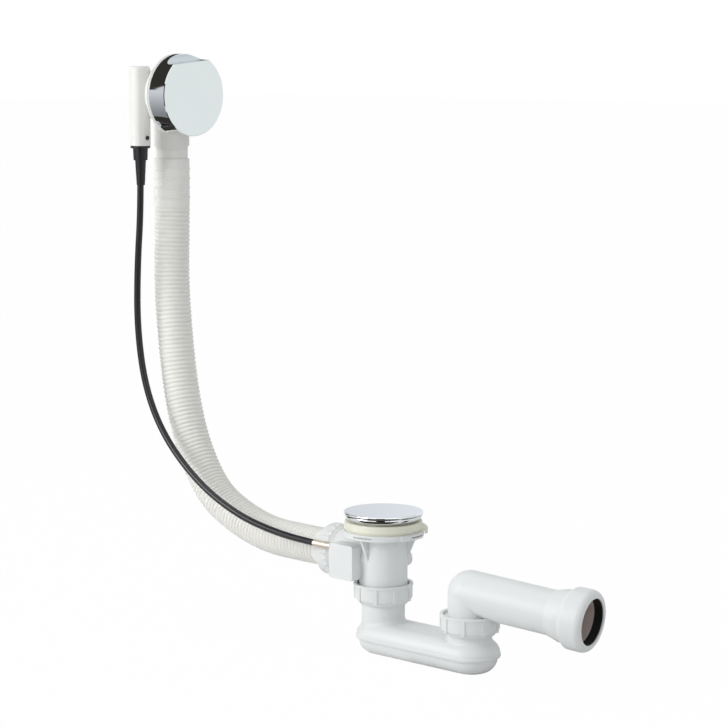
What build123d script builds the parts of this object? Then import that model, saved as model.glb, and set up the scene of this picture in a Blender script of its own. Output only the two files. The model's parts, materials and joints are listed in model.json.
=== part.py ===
from build123d import *
from math import asin, atan2, cos, degrees, hypot, pi, radians, sin, sqrt, tan
import os

# Bath waste and overflow with a rotary knob, a cable-driven pop-up plug and a flat trap.
# Millimetres. The origin is the centre of the bath's waste hole, in the plane of its lower seat.
# +Z is up, +X runs from the overflow towards the outlet, +Y is to the left of that way.

os.makedirs("parts", exist_ok=True)

# Fits between pieces
run_gap = 0.3
shaft_clearance = 0.08
thread_clearance = 0.3
seat_gap = 0.1

# Plug
plug_radius = 36.0
plug_edge = 2.6
plug_crown = 0.6
plug_lift = 10.0
stem_radius = 3.0
stem_head_radius = 6.0
stem_length = 42.6
plug_seal_radius = 29.0
plug_seal_width = 4.6

# Chrome waste flange
flange_radius = 34.8
flange_height = 5.0
flange_skirt = 0.9
flange_seal_height = 1.0
flange_rim = 1.4
flange_dish = 2.3
flange_floor = 2.2
throat_radius = 17.8
throat_wall = 2.1
throat_length = 21.0
web_height = 5.0
web_width = 2.4
guide_wall = 2.2
cap_gap = 0.6

# Bath gasket
gasket_top_radius = 34.9
gasket_radius = 36.0
gasket_foot_radius = 34.4
gasket_slope = 5.8
gasket_height = 8.4
gasket_ear = 4.4
gasket_ear_width = 15.0
gasket_ear_angle = 36.0
gasket_ear_top = 2.8
gasket_ear_hook = 2.2

# Waste body
body_flange_radius = 36.6
body_flange_height = 5.0
lug_depth = 1.4
lug_angle = 44.0
lug_count = 4
lug_start = 10.0
slit_angle = 30.0
slit_height = 1.2
slit_depth = 4.0
tube_radius = 21.9
tube_wall = 3.0
neck_wall = 2.4
tube_length = 46.4
tail_length = 8.2
tail_thread_radius = tube_radius + 1.7
gusset_radius = 30.5
gusset_height = 21.6
gusset_thick = 2.4
gusset_angles = (-90, 30, 150)
blank_boss_radius = 7.4
blank_boss_x = 3.0
blank_boss_z = -38.4
blank_boss_end = 28.0

# Hose inlet of the waste body
inlet_z = -35.0
inlet_radius = 22.0
inlet_bore = 18.0
inlet_shoulder = 48.0
inlet_thread_radius = 21.0
inlet_end = 58.0

# Cable block on the side of the waste body
block_low_x = -37.2
block_high_x = -8.3
block_face_y = -33.0
block_low_z = -53.0
block_high_z = -21.0
block_wall = 2.0
block_roof = 1.2
block_cover = 1.6
block_corner = 2.5
block_back_y = -23.6

# Cable and its ends
sheath_radius = 3.2
sheath_bore = 1.2
wire_radius = 0.9
cable_y = -28.0
cable_z = -25.3
ferrule_start_x = -60.0
ferrule_end_x = -36.4

# Lifting lever
shaft_x = -20.0
shaft_z = -42.0
shaft_radius = 2.0
finger_reach = 20.0
finger_width = 6.0
finger_nose = 2.5
lever_hub = 4.2
finger_elbow_reach = 10.5
finger_elbow_drop = 20.0
finger_elbow_radius = 2.4
shaft_ring_section = 1.5
crank_pin_radius = 1.25
crank_thick = 1.8
nipple_length = 7.0
nipple_height = 5.6
nipple_width = 4.2
nipple_tail = 7.6
nipple_tail_radius = 2.2

# Overflow head
knob_z = 378.3
seat_x = -263.8
knob_radius = 39.0
knob_depth = 20.3
knob_wall = 2.0
knob_face = 2.4
knob_hub = 7.0
knob_stand_off = 0.4
knob_chamfer = 0.6
knob_slot_count = 3
knob_slot_width = 12.0
knob_slot_depth = 4.5
flat_height = 31.4
flat_run = 6.0
scoop_radius = 9.0
flat_roll = 5.0
overflow_gasket_radius = knob_radius
overflow_gasket_bore = knob_radius - 7.5
overflow_gasket_thick = 2.5
head_flange_radius = knob_radius
head_flange_thick = 2.0
chamber_radius = knob_radius - 6.0
chamber_depth = 17.7
chamber_wall = 2.4
clamp_flange_radius = knob_radius - 5.0
clamp_flange_thick = 2.6
clamp_boss_radius = 8.0
clamp_boss_height = 5.0
slot_mid_radius = 20.0
slot_width = 9.0
screw_offset = 22.0
screw_boss_radius = 4.5
screw_radius = 1.9
screw_head_radius = 3.8

# Spindle, pinion and rack
tooth_module = 0.9
pinion_teeth = 12
pressure_angle = 25.0
tooth_backlash = 0.24
pinion_width = 6.0
pinion_front_x = -275.2
spindle_radius = 4.0
spindle_collar_radius = 6.0
spindle_drive_radius = 3.4
tail_journal_radius = 2.5
o_ring_section = 1.7

# Cable housing on the overflow body
housing_x = -292.0
housing_y = -25.0
housing_radius = 9.8
housing_bore = 7.6
housing_low_z = 329.9
housing_high_z = 405.6
housing_edge = 2.4
slider_length = 24.0
slider_low_z = 360.0
slider_web_width = 5.0
slider_web_low = 6.0
slider_web_length = 16.0
rack_plate_low = 5.0
rack_plate_length = 18.0
rack_plate_start = -22.5
gland_flange = 2.4
gland_flange_radius = 9.5
gland_barrel_radius = 7.25
gland_barrel_length = 11.5
gland_sleeve_radius = 5.3
gland_sleeve_length = 24.0
gland_tip_radius = 4.0
gland_plug_length = 15.0
gland_seat_depth = 5.0
gland_screw_z = 337.4
gland_screw_radius = 1.5
gland_screw_head = 2.1

# Hose spigot on the overflow body
spigot_x = -291.0
spigot_y = 15.0
spigot_radius = 17.2
spigot_wall = 2.6
spigot_low_z = 328.6
spigot_high_z = 395.0
spigot_dome = 12.0
spigot_insert_radius = 14.9
spigot_bore = 12.8
spigot_insert_length = 24.0
spigot_groove = 15.8

# Overflow hose
cuff_high_z = 325.0
cuff_radius = 17.1
cuff_bore = 15.1
cuff_length = 56.2
cuff_lip_radius = 16.6
cuff_lip_length = 8.0
cuff_ring_first = 18.7
cuff_ring_pitch = 9.1
cuff_ring_count = 4
cuff_ring_height = 0.8
cuff_ring_width = 1.8
bellows_crest = 17.4
bellows_valley = 16.3
bellows_pitch = 4.2
end_cuff_length = 14.0
hose_collar_radius = 20.6
hose_collar_width = 2.4
washer_thick = 3.0
hose_nut_radius = 24.0
hose_nut_taper = 3.0
nut_lip = 2.0

# Union nuts of the trap
nut_bore = tail_thread_radius + 0.6
nut_rim_radius = nut_bore + 2.9
nut_radius = nut_bore + 1.8
nut_rim_height = 2.0
nut_straight = 13.4
nut_taper = 5.1
nut_foot_radius = 21.6
nut_lip_height = 2.4
nut_ribs = 9
nut_rib_width = 3.2
nut_rib_depth = 0.9
nut_rib_angle = -24.0
nut_rib_foot = 3.6
nut_overhang = 2.7

# Flat trap
trap_tube_radius = 19.6
trap_tube_bore = 16.8
trap_collar_radius = 22.5
trap_collar_width = 2.4
trap_span = 103.0
trap_radius = 25.5
trap_shift = 1.5
trap_wall = 2.8
trap_top_z = -92.5
trap_seam_z = -106.5
trap_bottom_z = -121.8
trap_shoulder = 12.5
trap_floor_round = 13.5
trap_tube_fillet = 4.0
trap_lower_inset = 0.8
trap_draft = 18.0
baffle_thick = 2.4
baffle_depth = 12.0
outlet_nut_foot_z = -88.0

# Outlet bend, pipe and socket
pipe_radius = 20.0
pipe_wall = 2.8
bend_z = -51.2
outlet_swivel = 10.0
outlet_droop = 5.2
knuckle_bore = 14.0
knuckle_end = 34.0
flare_start = 82.0
flare_end = 94.0
socket_radius = 23.4
socket_bore = 20.1
socket_stop = 88.0
socket_end = 112.0
mouth_nut_start = 101.0
mouth_end = 121.5
mouth_nut_radius = 27.5
mouth_nut_round = 4.5
mouth_bore = 20.7
mouth_lip = 1.5
mouth_seal_bore = 20.2


def outline(plane, *points):
    """Closed flat outline through the given points."""
    with BuildSketch(plane) as flat:
        with BuildLine():
            Polyline(*points, close=True)
        make_face()
    return flat.sketch


def circles_of(builder, radius):
    """Round edges of the piece that have this radius."""
    return builder.edges().filter_by(GeomType.CIRCLE).filter_by(lambda edge: abs(edge.radius - radius) < 0.01)


# Levels of the waste, all measured from the seat
flange_low_z = flange_seal_height
flange_high_z = flange_low_z + flange_height
cap_low_z = flange_high_z + cap_gap
cap_high_z = cap_low_z + plug_edge
dish_floor_z = flange_low_z + flange_floor
throat_outer = throat_radius + throat_wall
throat_low_z = flange_low_z - throat_length
body_top_z = -gasket_height
body_flange_low_z = body_top_z - body_flange_height
neck_bore = throat_outer + thread_clearance
tail_top_z = body_flange_low_z - tube_length
tail_low_z = tail_top_z - tail_length

# Motion worked out from the rack: a quarter turn of the knob moves the wire by wire_travel
knob_turn = pi / 2
pitch_radius = tooth_module * pinion_teeth / 2
wire_travel = pitch_radius * knob_turn
lever_half = asin(plug_lift / (2 * finger_reach))
crank_reach = wire_travel / (2 * sin(lever_half))
lever_turn = 2 * lever_half
nose_x = shaft_x + finger_reach * cos(lever_half)
nose_z = shaft_z - finger_reach * sin(lever_half)
crank_x = shaft_x + crank_reach * sin(lever_half)
crank_z = shaft_z + crank_reach * cos(lever_half)
foot_z = nose_z + finger_nose + seat_gap
print("wire travel", round(wire_travel, 4), "lever turn", round(degrees(lever_turn), 4))
print("ratios: wire", round(wire_travel / knob_turn / 1000, 6), "lever", round(lever_turn / knob_turn, 6),
      "plug", round(plug_lift / knob_turn / 1000, 6))

# Plug disc: slightly crowned, with a spigot for the stem
crown_z = cap_high_z - plug_crown
with BuildPart() as plug_cap:
    with BuildSketch(Plane.XZ):
        with BuildLine():
            ThreePointArc((0, cap_high_z), (plug_radius / 2, cap_high_z - plug_crown / 4), (plug_radius, crown_z))
            Line((plug_radius, crown_z), (plug_radius, cap_low_z))
            Line((plug_radius, cap_low_z), (0, cap_low_z))
            Line((0, cap_low_z), (0, cap_high_z))
        make_face()
    revolve(axis=Axis.Z)
    fillet(circles_of(plug_cap, plug_radius).sort_by(Axis.Z)[-1], 0.8)
    fillet(circles_of(plug_cap, plug_radius).sort_by(Axis.Z)[0], 0.7)
plug_cap.part.label = "plug_cap"
export_step(plug_cap.part, "parts/plug_cap.step")

# Seal ring under the plug, clear of the flange's dish
plug_seal_low_z = dish_floor_z + run_gap
with BuildPart() as plug_seal:
    with BuildSketch(Plane.XY.offset(plug_seal_low_z)):
        Circle(plug_seal_radius)
        Circle(plug_seal_radius - plug_seal_width, mode=Mode.SUBTRACT)
    extrude(amount=cap_low_z - plug_seal_low_z)
    chamfer(plug_seal.edges().group_by(Axis.Z)[0].sort_by(SortBy.LENGTH)[-1], 0.8)
plug_seal.part.label = "plug_seal"
export_step(plug_seal.part, "parts/plug_seal.step")

# Stem: head under the disc, rod in the guide, threaded hole for the adjusting screw
screw_head_height = 3.0
lock_nut_height = 2.8
stem_low_z = cap_low_z - stem_length
stem_screw_radius = 2.0
stem_hole_depth = 12.0
with BuildPart() as plug_stem:
    with BuildSketch(Plane.XY.offset(plug_seal_low_z)):
        Circle(stem_head_radius)
    extrude(amount=cap_low_z - plug_seal_low_z)
    with BuildSketch(Plane.XY.offset(stem_low_z)):
        Circle(stem_radius)
    extrude(amount=cap_low_z - stem_low_z)
    with BuildSketch(Plane.XY.offset(stem_low_z)):
        Circle(stem_screw_radius)
    extrude(amount=stem_hole_depth, mode=Mode.SUBTRACT)
plug_stem.part.label = "plug_stem"
export_step(plug_stem.part, "parts/plug_stem.step")

# Adjusting screw with its round head on the finger's nose, and its lock nut
with BuildPart() as stem_screw:
    with BuildSketch(Plane.XY.offset(foot_z)):
        Circle(stem_radius + 1)
    extrude(amount=screw_head_height)
    fillet(stem_screw.edges().group_by(Axis.Z)[0], 0.8)
    with BuildSketch(Plane.XY.offset(foot_z)):
        Circle(stem_screw_radius)
    extrude(amount=stem_low_z + stem_hole_depth - 1 - foot_z)
stem_screw.part.label = "stem_screw"
export_step(stem_screw.part, "parts/stem_screw.step")

with BuildPart() as stem_lock_nut:
    with BuildSketch(Plane.XY.offset(stem_low_z)):
        RegularPolygon(stem_radius + 0.9, 6)
        Circle(stem_screw_radius, mode=Mode.SUBTRACT)
    extrude(amount=-lock_nut_height)
stem_lock_nut.part.label = "stem_lock_nut"
export_step(stem_lock_nut.part, "parts/stem_lock_nut.step")

# Chrome flange: shallow dish, threaded throat, cross web with the stem's guide
guide_bore = stem_radius + run_gap
guide_radius = guide_bore + guide_wall
dish_rim = flange_radius - flange_rim
dish_toe = dish_rim - flange_dish
throat_round = throat_radius + 3.5
with BuildPart() as waste_flange:
    with BuildSketch(Plane.XZ):
        with BuildLine():
            Polyline((throat_outer, throat_low_z), (throat_outer, flange_low_z), (dish_rim, flange_low_z),
                     (dish_rim, flange_low_z - flange_skirt), (flange_radius, flange_low_z - flange_skirt),
                     (flange_radius, flange_high_z), (dish_rim, flange_high_z), (dish_toe, dish_floor_z),
                     (throat_round, dish_floor_z), (throat_radius, dish_floor_z - 2),
                     (throat_radius, throat_low_z), close=True)
        make_face()
    revolve(axis=Axis.Z)
    with BuildSketch(Plane.XY.offset(throat_low_z)):
        Rectangle(2 * throat_radius + 1, web_width)
        Rectangle(web_width, 2 * throat_radius + 1)
        Circle(guide_radius)
        Circle(guide_bore, mode=Mode.SUBTRACT)
    extrude(amount=web_height)
    fillet(circles_of(waste_flange, flange_radius), 0.9)
waste_flange.part.label = "waste_flange"
export_step(waste_flange.part, "parts/waste_flange.step")

with BuildPart() as flange_seal:
    with BuildSketch(Plane.XY):
        Circle(dish_rim - run_gap)
        Circle(throat_outer + thread_clearance, mode=Mode.SUBTRACT)
    extrude(amount=flange_seal_height)
flange_seal.part.label = "flange_seal"
export_step(flange_seal.part, "parts/flange_seal.step")

# Bath gasket with its pull ear
neck_radius = neck_bore + neck_wall + 2
with BuildPart() as bath_gasket:
    with BuildSketch(Plane.XZ):
        with BuildLine():
            Polyline((0, 0), (gasket_top_radius, 0), (gasket_radius, -gasket_slope),
                     (gasket_foot_radius, -gasket_height), (0, -gasket_height), close=True)
        make_face()
    revolve(axis=Axis.Z)
    fillet(circles_of(bath_gasket, gasket_radius), 1.5)
    ear_reach = gasket_radius + gasket_ear - gasket_ear_width / 2
    with BuildPart(mode=Mode.PRIVATE) as ear:
        with BuildSketch(Plane.XY.offset(-gasket_height - gasket_ear_hook)):
            with PolarLocations(ear_reach, 1, start_angle=gasket_ear_angle):
                Circle(gasket_ear_width / 2)
        extrude(amount=gasket_height + gasket_ear_hook - gasket_ear_top)
        chamfer(ear.edges().group_by(Axis.Z)[-1], 2.4)
        with BuildSketch(Plane.XY.offset(-gasket_height)):
            Circle(body_flange_radius + lug_depth + run_gap)
        extrude(amount=-gasket_ear_hook, mode=Mode.SUBTRACT)
    add(ear.part)
    with BuildSketch(Plane.XY.offset(-gasket_height)):
        Circle(neck_radius + seat_gap)
    extrude(amount=gasket_height, mode=Mode.SUBTRACT)
bath_gasket.part.label = "bath_gasket"
export_step(bath_gasket.part, "parts/bath_gasket.step")

# Waste body: turned forms first, then the inlet, block, lugs and gussets, then every bore
tube_bore = tube_radius - tube_wall
inlet_plane = Plane(origin=(0, 0, inlet_z), x_dir=(0, 1, 0), z_dir=(-1, 0, 0))
block_mid_x = (block_low_x + block_high_x) / 2
block_mid_z = (block_low_z + block_high_z) / 2
block_size_x = block_high_x - block_low_x
block_size_z = block_high_z - block_low_z
cover_back_y = block_face_y + block_cover
block_plane = Plane(origin=(block_mid_x, cover_back_y, block_mid_z), x_dir=(1, 0, 0), z_dir=(0, 1, 0))
cavity_size_x = block_size_x - 2 * block_wall
cavity_low_z = block_low_z + block_wall
cavity_high_z = block_high_z - block_roof
shaft_plane = Plane(origin=(shaft_x, 0, shaft_z), x_dir=(1, 0, 0), z_dir=(0, 1, 0))
shaft_end_y = sqrt(inlet_bore ** 2 - (shaft_z - inlet_z) ** 2) + 2.2
shaft_start_y = cover_back_y + 0.4
shaft_hole = shaft_radius + shaft_clearance
shaft_ring_radius = shaft_hole + shaft_ring_section
with BuildPart() as waste_body:
    with BuildSketch(Plane.XZ):
        with BuildLine():
            Polyline((0, -1), (neck_radius, -1), (neck_radius, body_top_z), (body_flange_radius, body_top_z),
                     (body_flange_radius, body_flange_low_z), (tube_radius, body_flange_low_z),
                     (tube_radius, tail_top_z), (tail_thread_radius, tail_top_z - 1),
                     (tail_thread_radius, tail_low_z), (0, tail_low_z), close=True)
        make_face()
    revolve(axis=Axis.Z)
    with PolarLocations(0, lug_count, start_angle=lug_start):
        with BuildSketch(Plane.XY.offset(body_flange_low_z)):
            with BuildLine():
                lug_arc = CenterArc((0, 0), body_flange_radius + lug_depth, -lug_angle / 2, lug_angle)
                Line(lug_arc @ 0, (0, 0))
                Line((0, 0), lug_arc @ 1)
            make_face()
        extrude(amount=body_flange_height - 0.3)
    for angle in gusset_angles:
        gusset_plane = Plane(origin=(0, 0, 0), x_dir=(cos(radians(angle)), sin(radians(angle)), 0),
                             z_dir=(sin(radians(angle)), -cos(radians(angle)), 0))
        with BuildSketch(gusset_plane.offset(-gusset_thick / 2)):
            with BuildLine():
                Polyline((tube_radius - 1, body_flange_low_z + 0.5), (gusset_radius, body_flange_low_z + 0.5),
                         (gusset_radius, body_flange_low_z - 1), (tube_radius, body_flange_low_z - gusset_height),
                         (tube_radius - 1, body_flange_low_z - gusset_height), close=True)
            make_face()
        extrude(amount=gusset_thick)
    with BuildSketch(inlet_plane):
        Circle(inlet_radius)
    extrude(amount=inlet_shoulder)
    with BuildSketch(inlet_plane):
        Circle(inlet_thread_radius)
    extrude(amount=inlet_end)
    with BuildSketch(block_plane):
        RectangleRounded(block_size_x, block_size_z, block_corner)
    extrude(amount=-cover_back_y - tube_radius * 0.35)
    with BuildSketch(Plane(origin=(blank_boss_x, 0, blank_boss_z), x_dir=(1, 0, 0), z_dir=(0, 1, 0))):
        Circle(blank_boss_radius)
    extrude(amount=blank_boss_end)
    with BuildSketch(Plane.XY.offset(tail_low_z)):
        Circle(tube_bore)
    extrude(amount=throat_low_z - 1 - tail_low_z, mode=Mode.SUBTRACT)
    with BuildSketch(Plane.XY.offset(throat_low_z - 1)):
        Circle(neck_bore)
    extrude(amount=-throat_low_z + 1, mode=Mode.SUBTRACT)
    with BuildSketch(inlet_plane):
        Circle(inlet_bore)
    extrude(amount=inlet_end, mode=Mode.SUBTRACT)
    with BuildSketch(Plane(origin=(block_mid_x, cover_back_y, (cavity_low_z + cavity_high_z) / 2),
                           x_dir=(1, 0, 0), z_dir=(0, 1, 0))):
        RectangleRounded(cavity_size_x, cavity_high_z - cavity_low_z, 1)
    extrude(amount=block_back_y - cover_back_y, mode=Mode.SUBTRACT)
    with BuildSketch(Plane(origin=(block_low_x, cable_y, cable_z), x_dir=(0, 1, 0), z_dir=(1, 0, 0))):
        Circle(sheath_radius + shaft_clearance)
    extrude(amount=block_wall, mode=Mode.SUBTRACT)
    with BuildSketch(shaft_plane.offset(block_back_y)):
        Circle(shaft_ring_radius)
    extrude(amount=shaft_ring_section + seat_gap, mode=Mode.SUBTRACT)
    with BuildSketch(shaft_plane.offset(block_back_y)):
        Circle(shaft_hole)
    extrude(amount=shaft_end_y + shaft_clearance - block_back_y, mode=Mode.SUBTRACT)
    slit_z = (body_top_z + body_flange_low_z) / 2
    with Locations((0, 0, slit_z)):
        with PolarLocations(body_flange_radius + lug_depth, lug_count, start_angle=lug_start):
            Box(2 * slit_depth, 2 * (body_flange_radius + lug_depth) * sin(radians(slit_angle / 2)), slit_height,
                mode=Mode.SUBTRACT)
waste_body.part.label = "waste_body"
export_step(waste_body.part, "parts/waste_body.step")

with BuildPart() as cable_block_cover:
    with BuildSketch(block_plane):
        RectangleRounded(block_size_x, block_size_z, block_corner)
    extrude(amount=-block_cover)
    fillet(cable_block_cover.edges().group_by(Axis.Y)[0], 0.6)
cable_block_cover.part.label = "cable_block_cover"
export_step(cable_block_cover.part, "parts/cable_block_cover.step")

with BuildPart() as shaft_o_ring:
    with BuildSketch(shaft_plane.offset(block_back_y)):
        Circle(shaft_ring_radius)
        Circle(shaft_hole, mode=Mode.SUBTRACT)
    extrude(amount=shaft_ring_section)
shaft_o_ring.part.label = "shaft_o_ring"
export_step(shaft_o_ring.part, "parts/shaft_o_ring.step")

# Lever: shaft across the body, finger under the stem, crank with its pin in the block
with BuildPart() as lever_shaft:
    with BuildSketch(shaft_plane.offset(shaft_start_y)):
        Circle(shaft_radius)
    extrude(amount=shaft_end_y - shaft_start_y)
lever_shaft.part.label = "lever_shaft"
export_step(lever_shaft.part, "parts/lever_shaft.step")


def arm_profile(*discs):
    """Flat arm through round discs, each given as x, z and radius about the shaft."""
    with BuildSketch() as arm:
        for (x1, z1, r1), (x2, z2, r2) in zip(discs, discs[1:]):
            line = atan2(z2 - z1, x2 - x1)
            spread = asin((r1 - r2) / hypot(x2 - x1, z2 - z1))
            high = line + pi / 2 - spread
            low = line - pi / 2 + spread
            with BuildLine():
                Polyline((x1 + r1 * cos(high), z1 + r1 * sin(high)), (x2 + r2 * cos(high), z2 + r2 * sin(high)),
                         (x2 + r2 * cos(low), z2 + r2 * sin(low)), (x1 + r1 * cos(low), z1 + r1 * sin(low)),
                         close=True)
            make_face()
        for x, z, radius in discs:
            with Locations((x, z)):
                Circle(radius)
    return arm.sketch


elbow_angle = -lever_half - radians(finger_elbow_drop)
finger_plane = Plane(origin=(shaft_x, finger_width / 2, shaft_z), x_dir=(1, 0, 0), z_dir=(0, -1, 0))
with BuildPart() as lift_finger:
    with BuildSketch(finger_plane):
        add(arm_profile((0, 0, lever_hub),
                        (finger_elbow_reach * cos(elbow_angle), finger_elbow_reach * sin(elbow_angle),
                         finger_elbow_radius),
                        (nose_x - shaft_x, nose_z - shaft_z, finger_nose)))
        Circle(shaft_radius, mode=Mode.SUBTRACT)
    extrude(amount=finger_width)
lift_finger.part.label = "lift_finger"
export_step(lift_finger.part, "parts/lift_finger.step")

crank_back_y = block_back_y - run_gap
crank_plane = Plane(origin=(shaft_x, crank_back_y, shaft_z), x_dir=(1, 0, 0), z_dir=(0, -1, 0))
crank_tip_radius = crank_pin_radius + 0.9
with BuildPart() as crank_arm:
    with BuildSketch(crank_plane):
        add(arm_profile((0, 0, lever_hub), (crank_x - shaft_x, crank_z - shaft_z, crank_tip_radius)))
        Circle(shaft_radius, mode=Mode.SUBTRACT)
    extrude(amount=crank_thick)
    with BuildSketch(crank_plane.offset(crank_thick)):
        with Locations((crank_x - shaft_x, crank_z - shaft_z)):
            Circle(crank_pin_radius)
    extrude(amount=crank_back_y - crank_thick - (cable_y - nipple_width / 2))
crank_arm.part.label = "crank_arm"
export_step(crank_arm.part, "parts/crank_arm.step")

# Nipple on the wire: a slotted block for the crank's pin and a tail for the wire
nipple_slot = crank_pin_radius + run_gap
nipple_rise = crank_reach * (1 - cos(lever_half))
nipple_plane = Plane(origin=(crank_x, cable_y, cable_z), x_dir=(0, 1, 0), z_dir=(-1, 0, 0))
with BuildPart() as cable_end:
    with Locations((crank_x, cable_y, cable_z)):
        Box(nipple_length, nipple_width, nipple_height)
    with BuildSketch(nipple_plane.offset(nipple_length / 2 - 0.5)):
        Circle(nipple_tail_radius)
    extrude(amount=nipple_tail + 0.5)
    with BuildSketch(nipple_plane.offset(nipple_slot + 0.3)):
        Circle(sheath_bore)
    extrude(amount=nipple_length / 2 + nipple_tail - nipple_slot - 0.3, mode=Mode.SUBTRACT)
    with BuildSketch(Plane(origin=(crank_x, cable_y, crank_z + nipple_rise / 2), x_dir=(1, 0, 0), z_dir=(0, 1, 0))):
        SlotOverall(2 * nipple_slot + nipple_rise, 2 * nipple_slot, rotation=90)
    extrude(amount=nipple_width, both=True, mode=Mode.SUBTRACT)
cable_end.part.label = "cable_end"
export_step(cable_end.part, "parts/cable_end.step")

# Overflow head: knob, an empty cap with a finger scoop at its top that follows its wall
knob_rear_x = seat_x + knob_stand_off
knob_face_x = knob_rear_x + knob_depth
knob_plane = Plane(origin=(knob_face_x, 0, knob_z), x_dir=(0, 1, 0), z_dir=(-1, 0, 0))
roll = radians(flat_roll)
flat_plane = Plane(origin=(knob_face_x, 0, knob_z), x_dir=(1, 0, 0), z_dir=(0, -cos(roll), -sin(roll)))


def scoop(inset):
    """Region above the knob's scoop: a short flat, then a hollow round up to the rear rim."""
    low = flat_height - inset
    curve = scoop_radius + inset
    with BuildSketch(flat_plane) as region:
        with BuildLine():
            Line((2, low), (-flat_run, low))
            RadiusArc((-flat_run, low), (-flat_run - curve, low + curve), curve)
            Polyline((-flat_run - curve, low + curve), (-flat_run - curve, 2 * knob_radius), (2, 2 * knob_radius),
                     (2, low))
        make_face()
    return region.sketch


clamp_front_x = seat_x + clamp_flange_thick
hub_rear_x = clamp_front_x + run_gap
with BuildPart() as knob_hollow:
    with BuildSketch(knob_plane.offset(knob_face)):
        Circle(knob_radius - knob_wall)
    extrude(amount=knob_depth)
    extrude(scoop(knob_wall), amount=knob_radius + 2, both=True, mode=Mode.SUBTRACT)
with BuildPart() as control_knob:
    with BuildSketch(knob_plane):
        Circle(knob_radius)
    extrude(amount=knob_depth)
    extrude(scoop(0), amount=knob_radius + 2, both=True, mode=Mode.SUBTRACT)
    chamfer(control_knob.edges().group_by(Axis.X)[-1], knob_chamfer)
    add(knob_hollow.part, mode=Mode.SUBTRACT)
    with BuildSketch(knob_plane.offset(knob_depth - knob_slot_depth)):
        with PolarLocations(knob_radius, knob_slot_count, start_angle=18, angular_range=81):
            Rectangle(3 * knob_wall, knob_slot_width)
    extrude(amount=knob_slot_depth, mode=Mode.SUBTRACT)
    with BuildSketch(knob_plane.offset(knob_face - 0.5)):
        Circle(knob_hub)
        with PolarLocations(0, 4, start_angle=45):
            Rectangle(knob_radius - knob_wall - 9, 1.6, align=(Align.MIN, Align.CENTER))
    extrude(amount=knob_face_x - knob_face + 0.5 - hub_rear_x - spindle_collar_radius / 2)
    with BuildSketch(knob_plane.offset(knob_face)):
        Circle(spindle_drive_radius + seat_gap)
    extrude(amount=knob_depth, mode=Mode.SUBTRACT)
control_knob.part.label = "control_knob"
export_step(control_knob.part, "parts/control_knob.step")

# Spindle with its pinion: twelve involute teeth, a collar, the journal and a tail
tip_radius = pitch_radius + tooth_module * 0.92
root_radius = pitch_radius - tooth_module * 1.2
base_radius = pitch_radius * cos(radians(pressure_angle))
flank_gap = tooth_backlash / 4
involute_at_pitch = tan(radians(pressure_angle)) - radians(pressure_angle)


def half_tooth(radius):
    """Half the angle that a pinion tooth fills at this radius."""
    lean = sqrt(max((radius / base_radius) ** 2 - 1, 0))
    involute = lean - atan2(lean, 1)
    return pi / (2 * pinion_teeth) - flank_gap / pitch_radius + involute_at_pitch - involute


def pinion_outline():
    """Closed outline of the pinion; local x is +Y and a tooth points at the rack, along -Y."""
    flank_radii = (root_radius, base_radius, pitch_radius, tip_radius)
    points = []
    for tooth in range(pinion_teeth):
        middle = pi + 2 * pi * tooth / pinion_teeth
        points += [(radius * cos(middle - half_tooth(radius)), radius * sin(middle - half_tooth(radius)))
                   for radius in flank_radii]
        points += [(radius * cos(middle + half_tooth(radius)), radius * sin(middle + half_tooth(radius)))
                   for radius in reversed(flank_radii)]
    return points


spindle_plane = Plane(origin=(0, 0, knob_z), x_dir=(0, 1, 0), z_dir=(1, 0, 0))
collar_front_x = hub_rear_x + spindle_collar_radius / 2 - seat_gap
drive_front_x = knob_face_x - knob_face - 1
pinion_rear_x = pinion_front_x - pinion_width
chamber_rear_x = seat_x - overflow_gasket_thick - chamber_depth
chamber_floor_x = chamber_rear_x + chamber_wall
tail_rear_x = chamber_rear_x - 0.5
with BuildPart() as drive_spindle:
    with BuildSketch(spindle_plane.offset(pinion_front_x)):
        Circle(spindle_radius)
    extrude(amount=hub_rear_x - pinion_front_x)
    with BuildSketch(spindle_plane.offset(hub_rear_x)):
        Circle(spindle_collar_radius)
    extrude(amount=collar_front_x - hub_rear_x)
    with BuildSketch(spindle_plane.offset(collar_front_x)):
        RegularPolygon(spindle_drive_radius, 6)
    extrude(amount=drive_front_x - collar_front_x)
    extrude(outline(spindle_plane.offset(pinion_rear_x), *pinion_outline()), amount=pinion_width)
    with BuildSketch(spindle_plane.offset(tail_rear_x)):
        Circle(tail_journal_radius)
    extrude(amount=pinion_rear_x - tail_rear_x)
drive_spindle.part.label = "drive_spindle"
export_step(drive_spindle.part, "parts/drive_spindle.step")

with BuildPart() as spindle_o_ring:
    with BuildSketch(spindle_plane.offset(clamp_front_x - 2 * seat_gap - o_ring_section)):
        Circle(spindle_radius + shaft_clearance + o_ring_section)
        Circle(spindle_radius + shaft_clearance, mode=Mode.SUBTRACT)
    extrude(amount=o_ring_section)
spindle_o_ring.part.label = "spindle_o_ring"
export_step(spindle_o_ring.part, "parts/spindle_o_ring.step")

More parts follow.
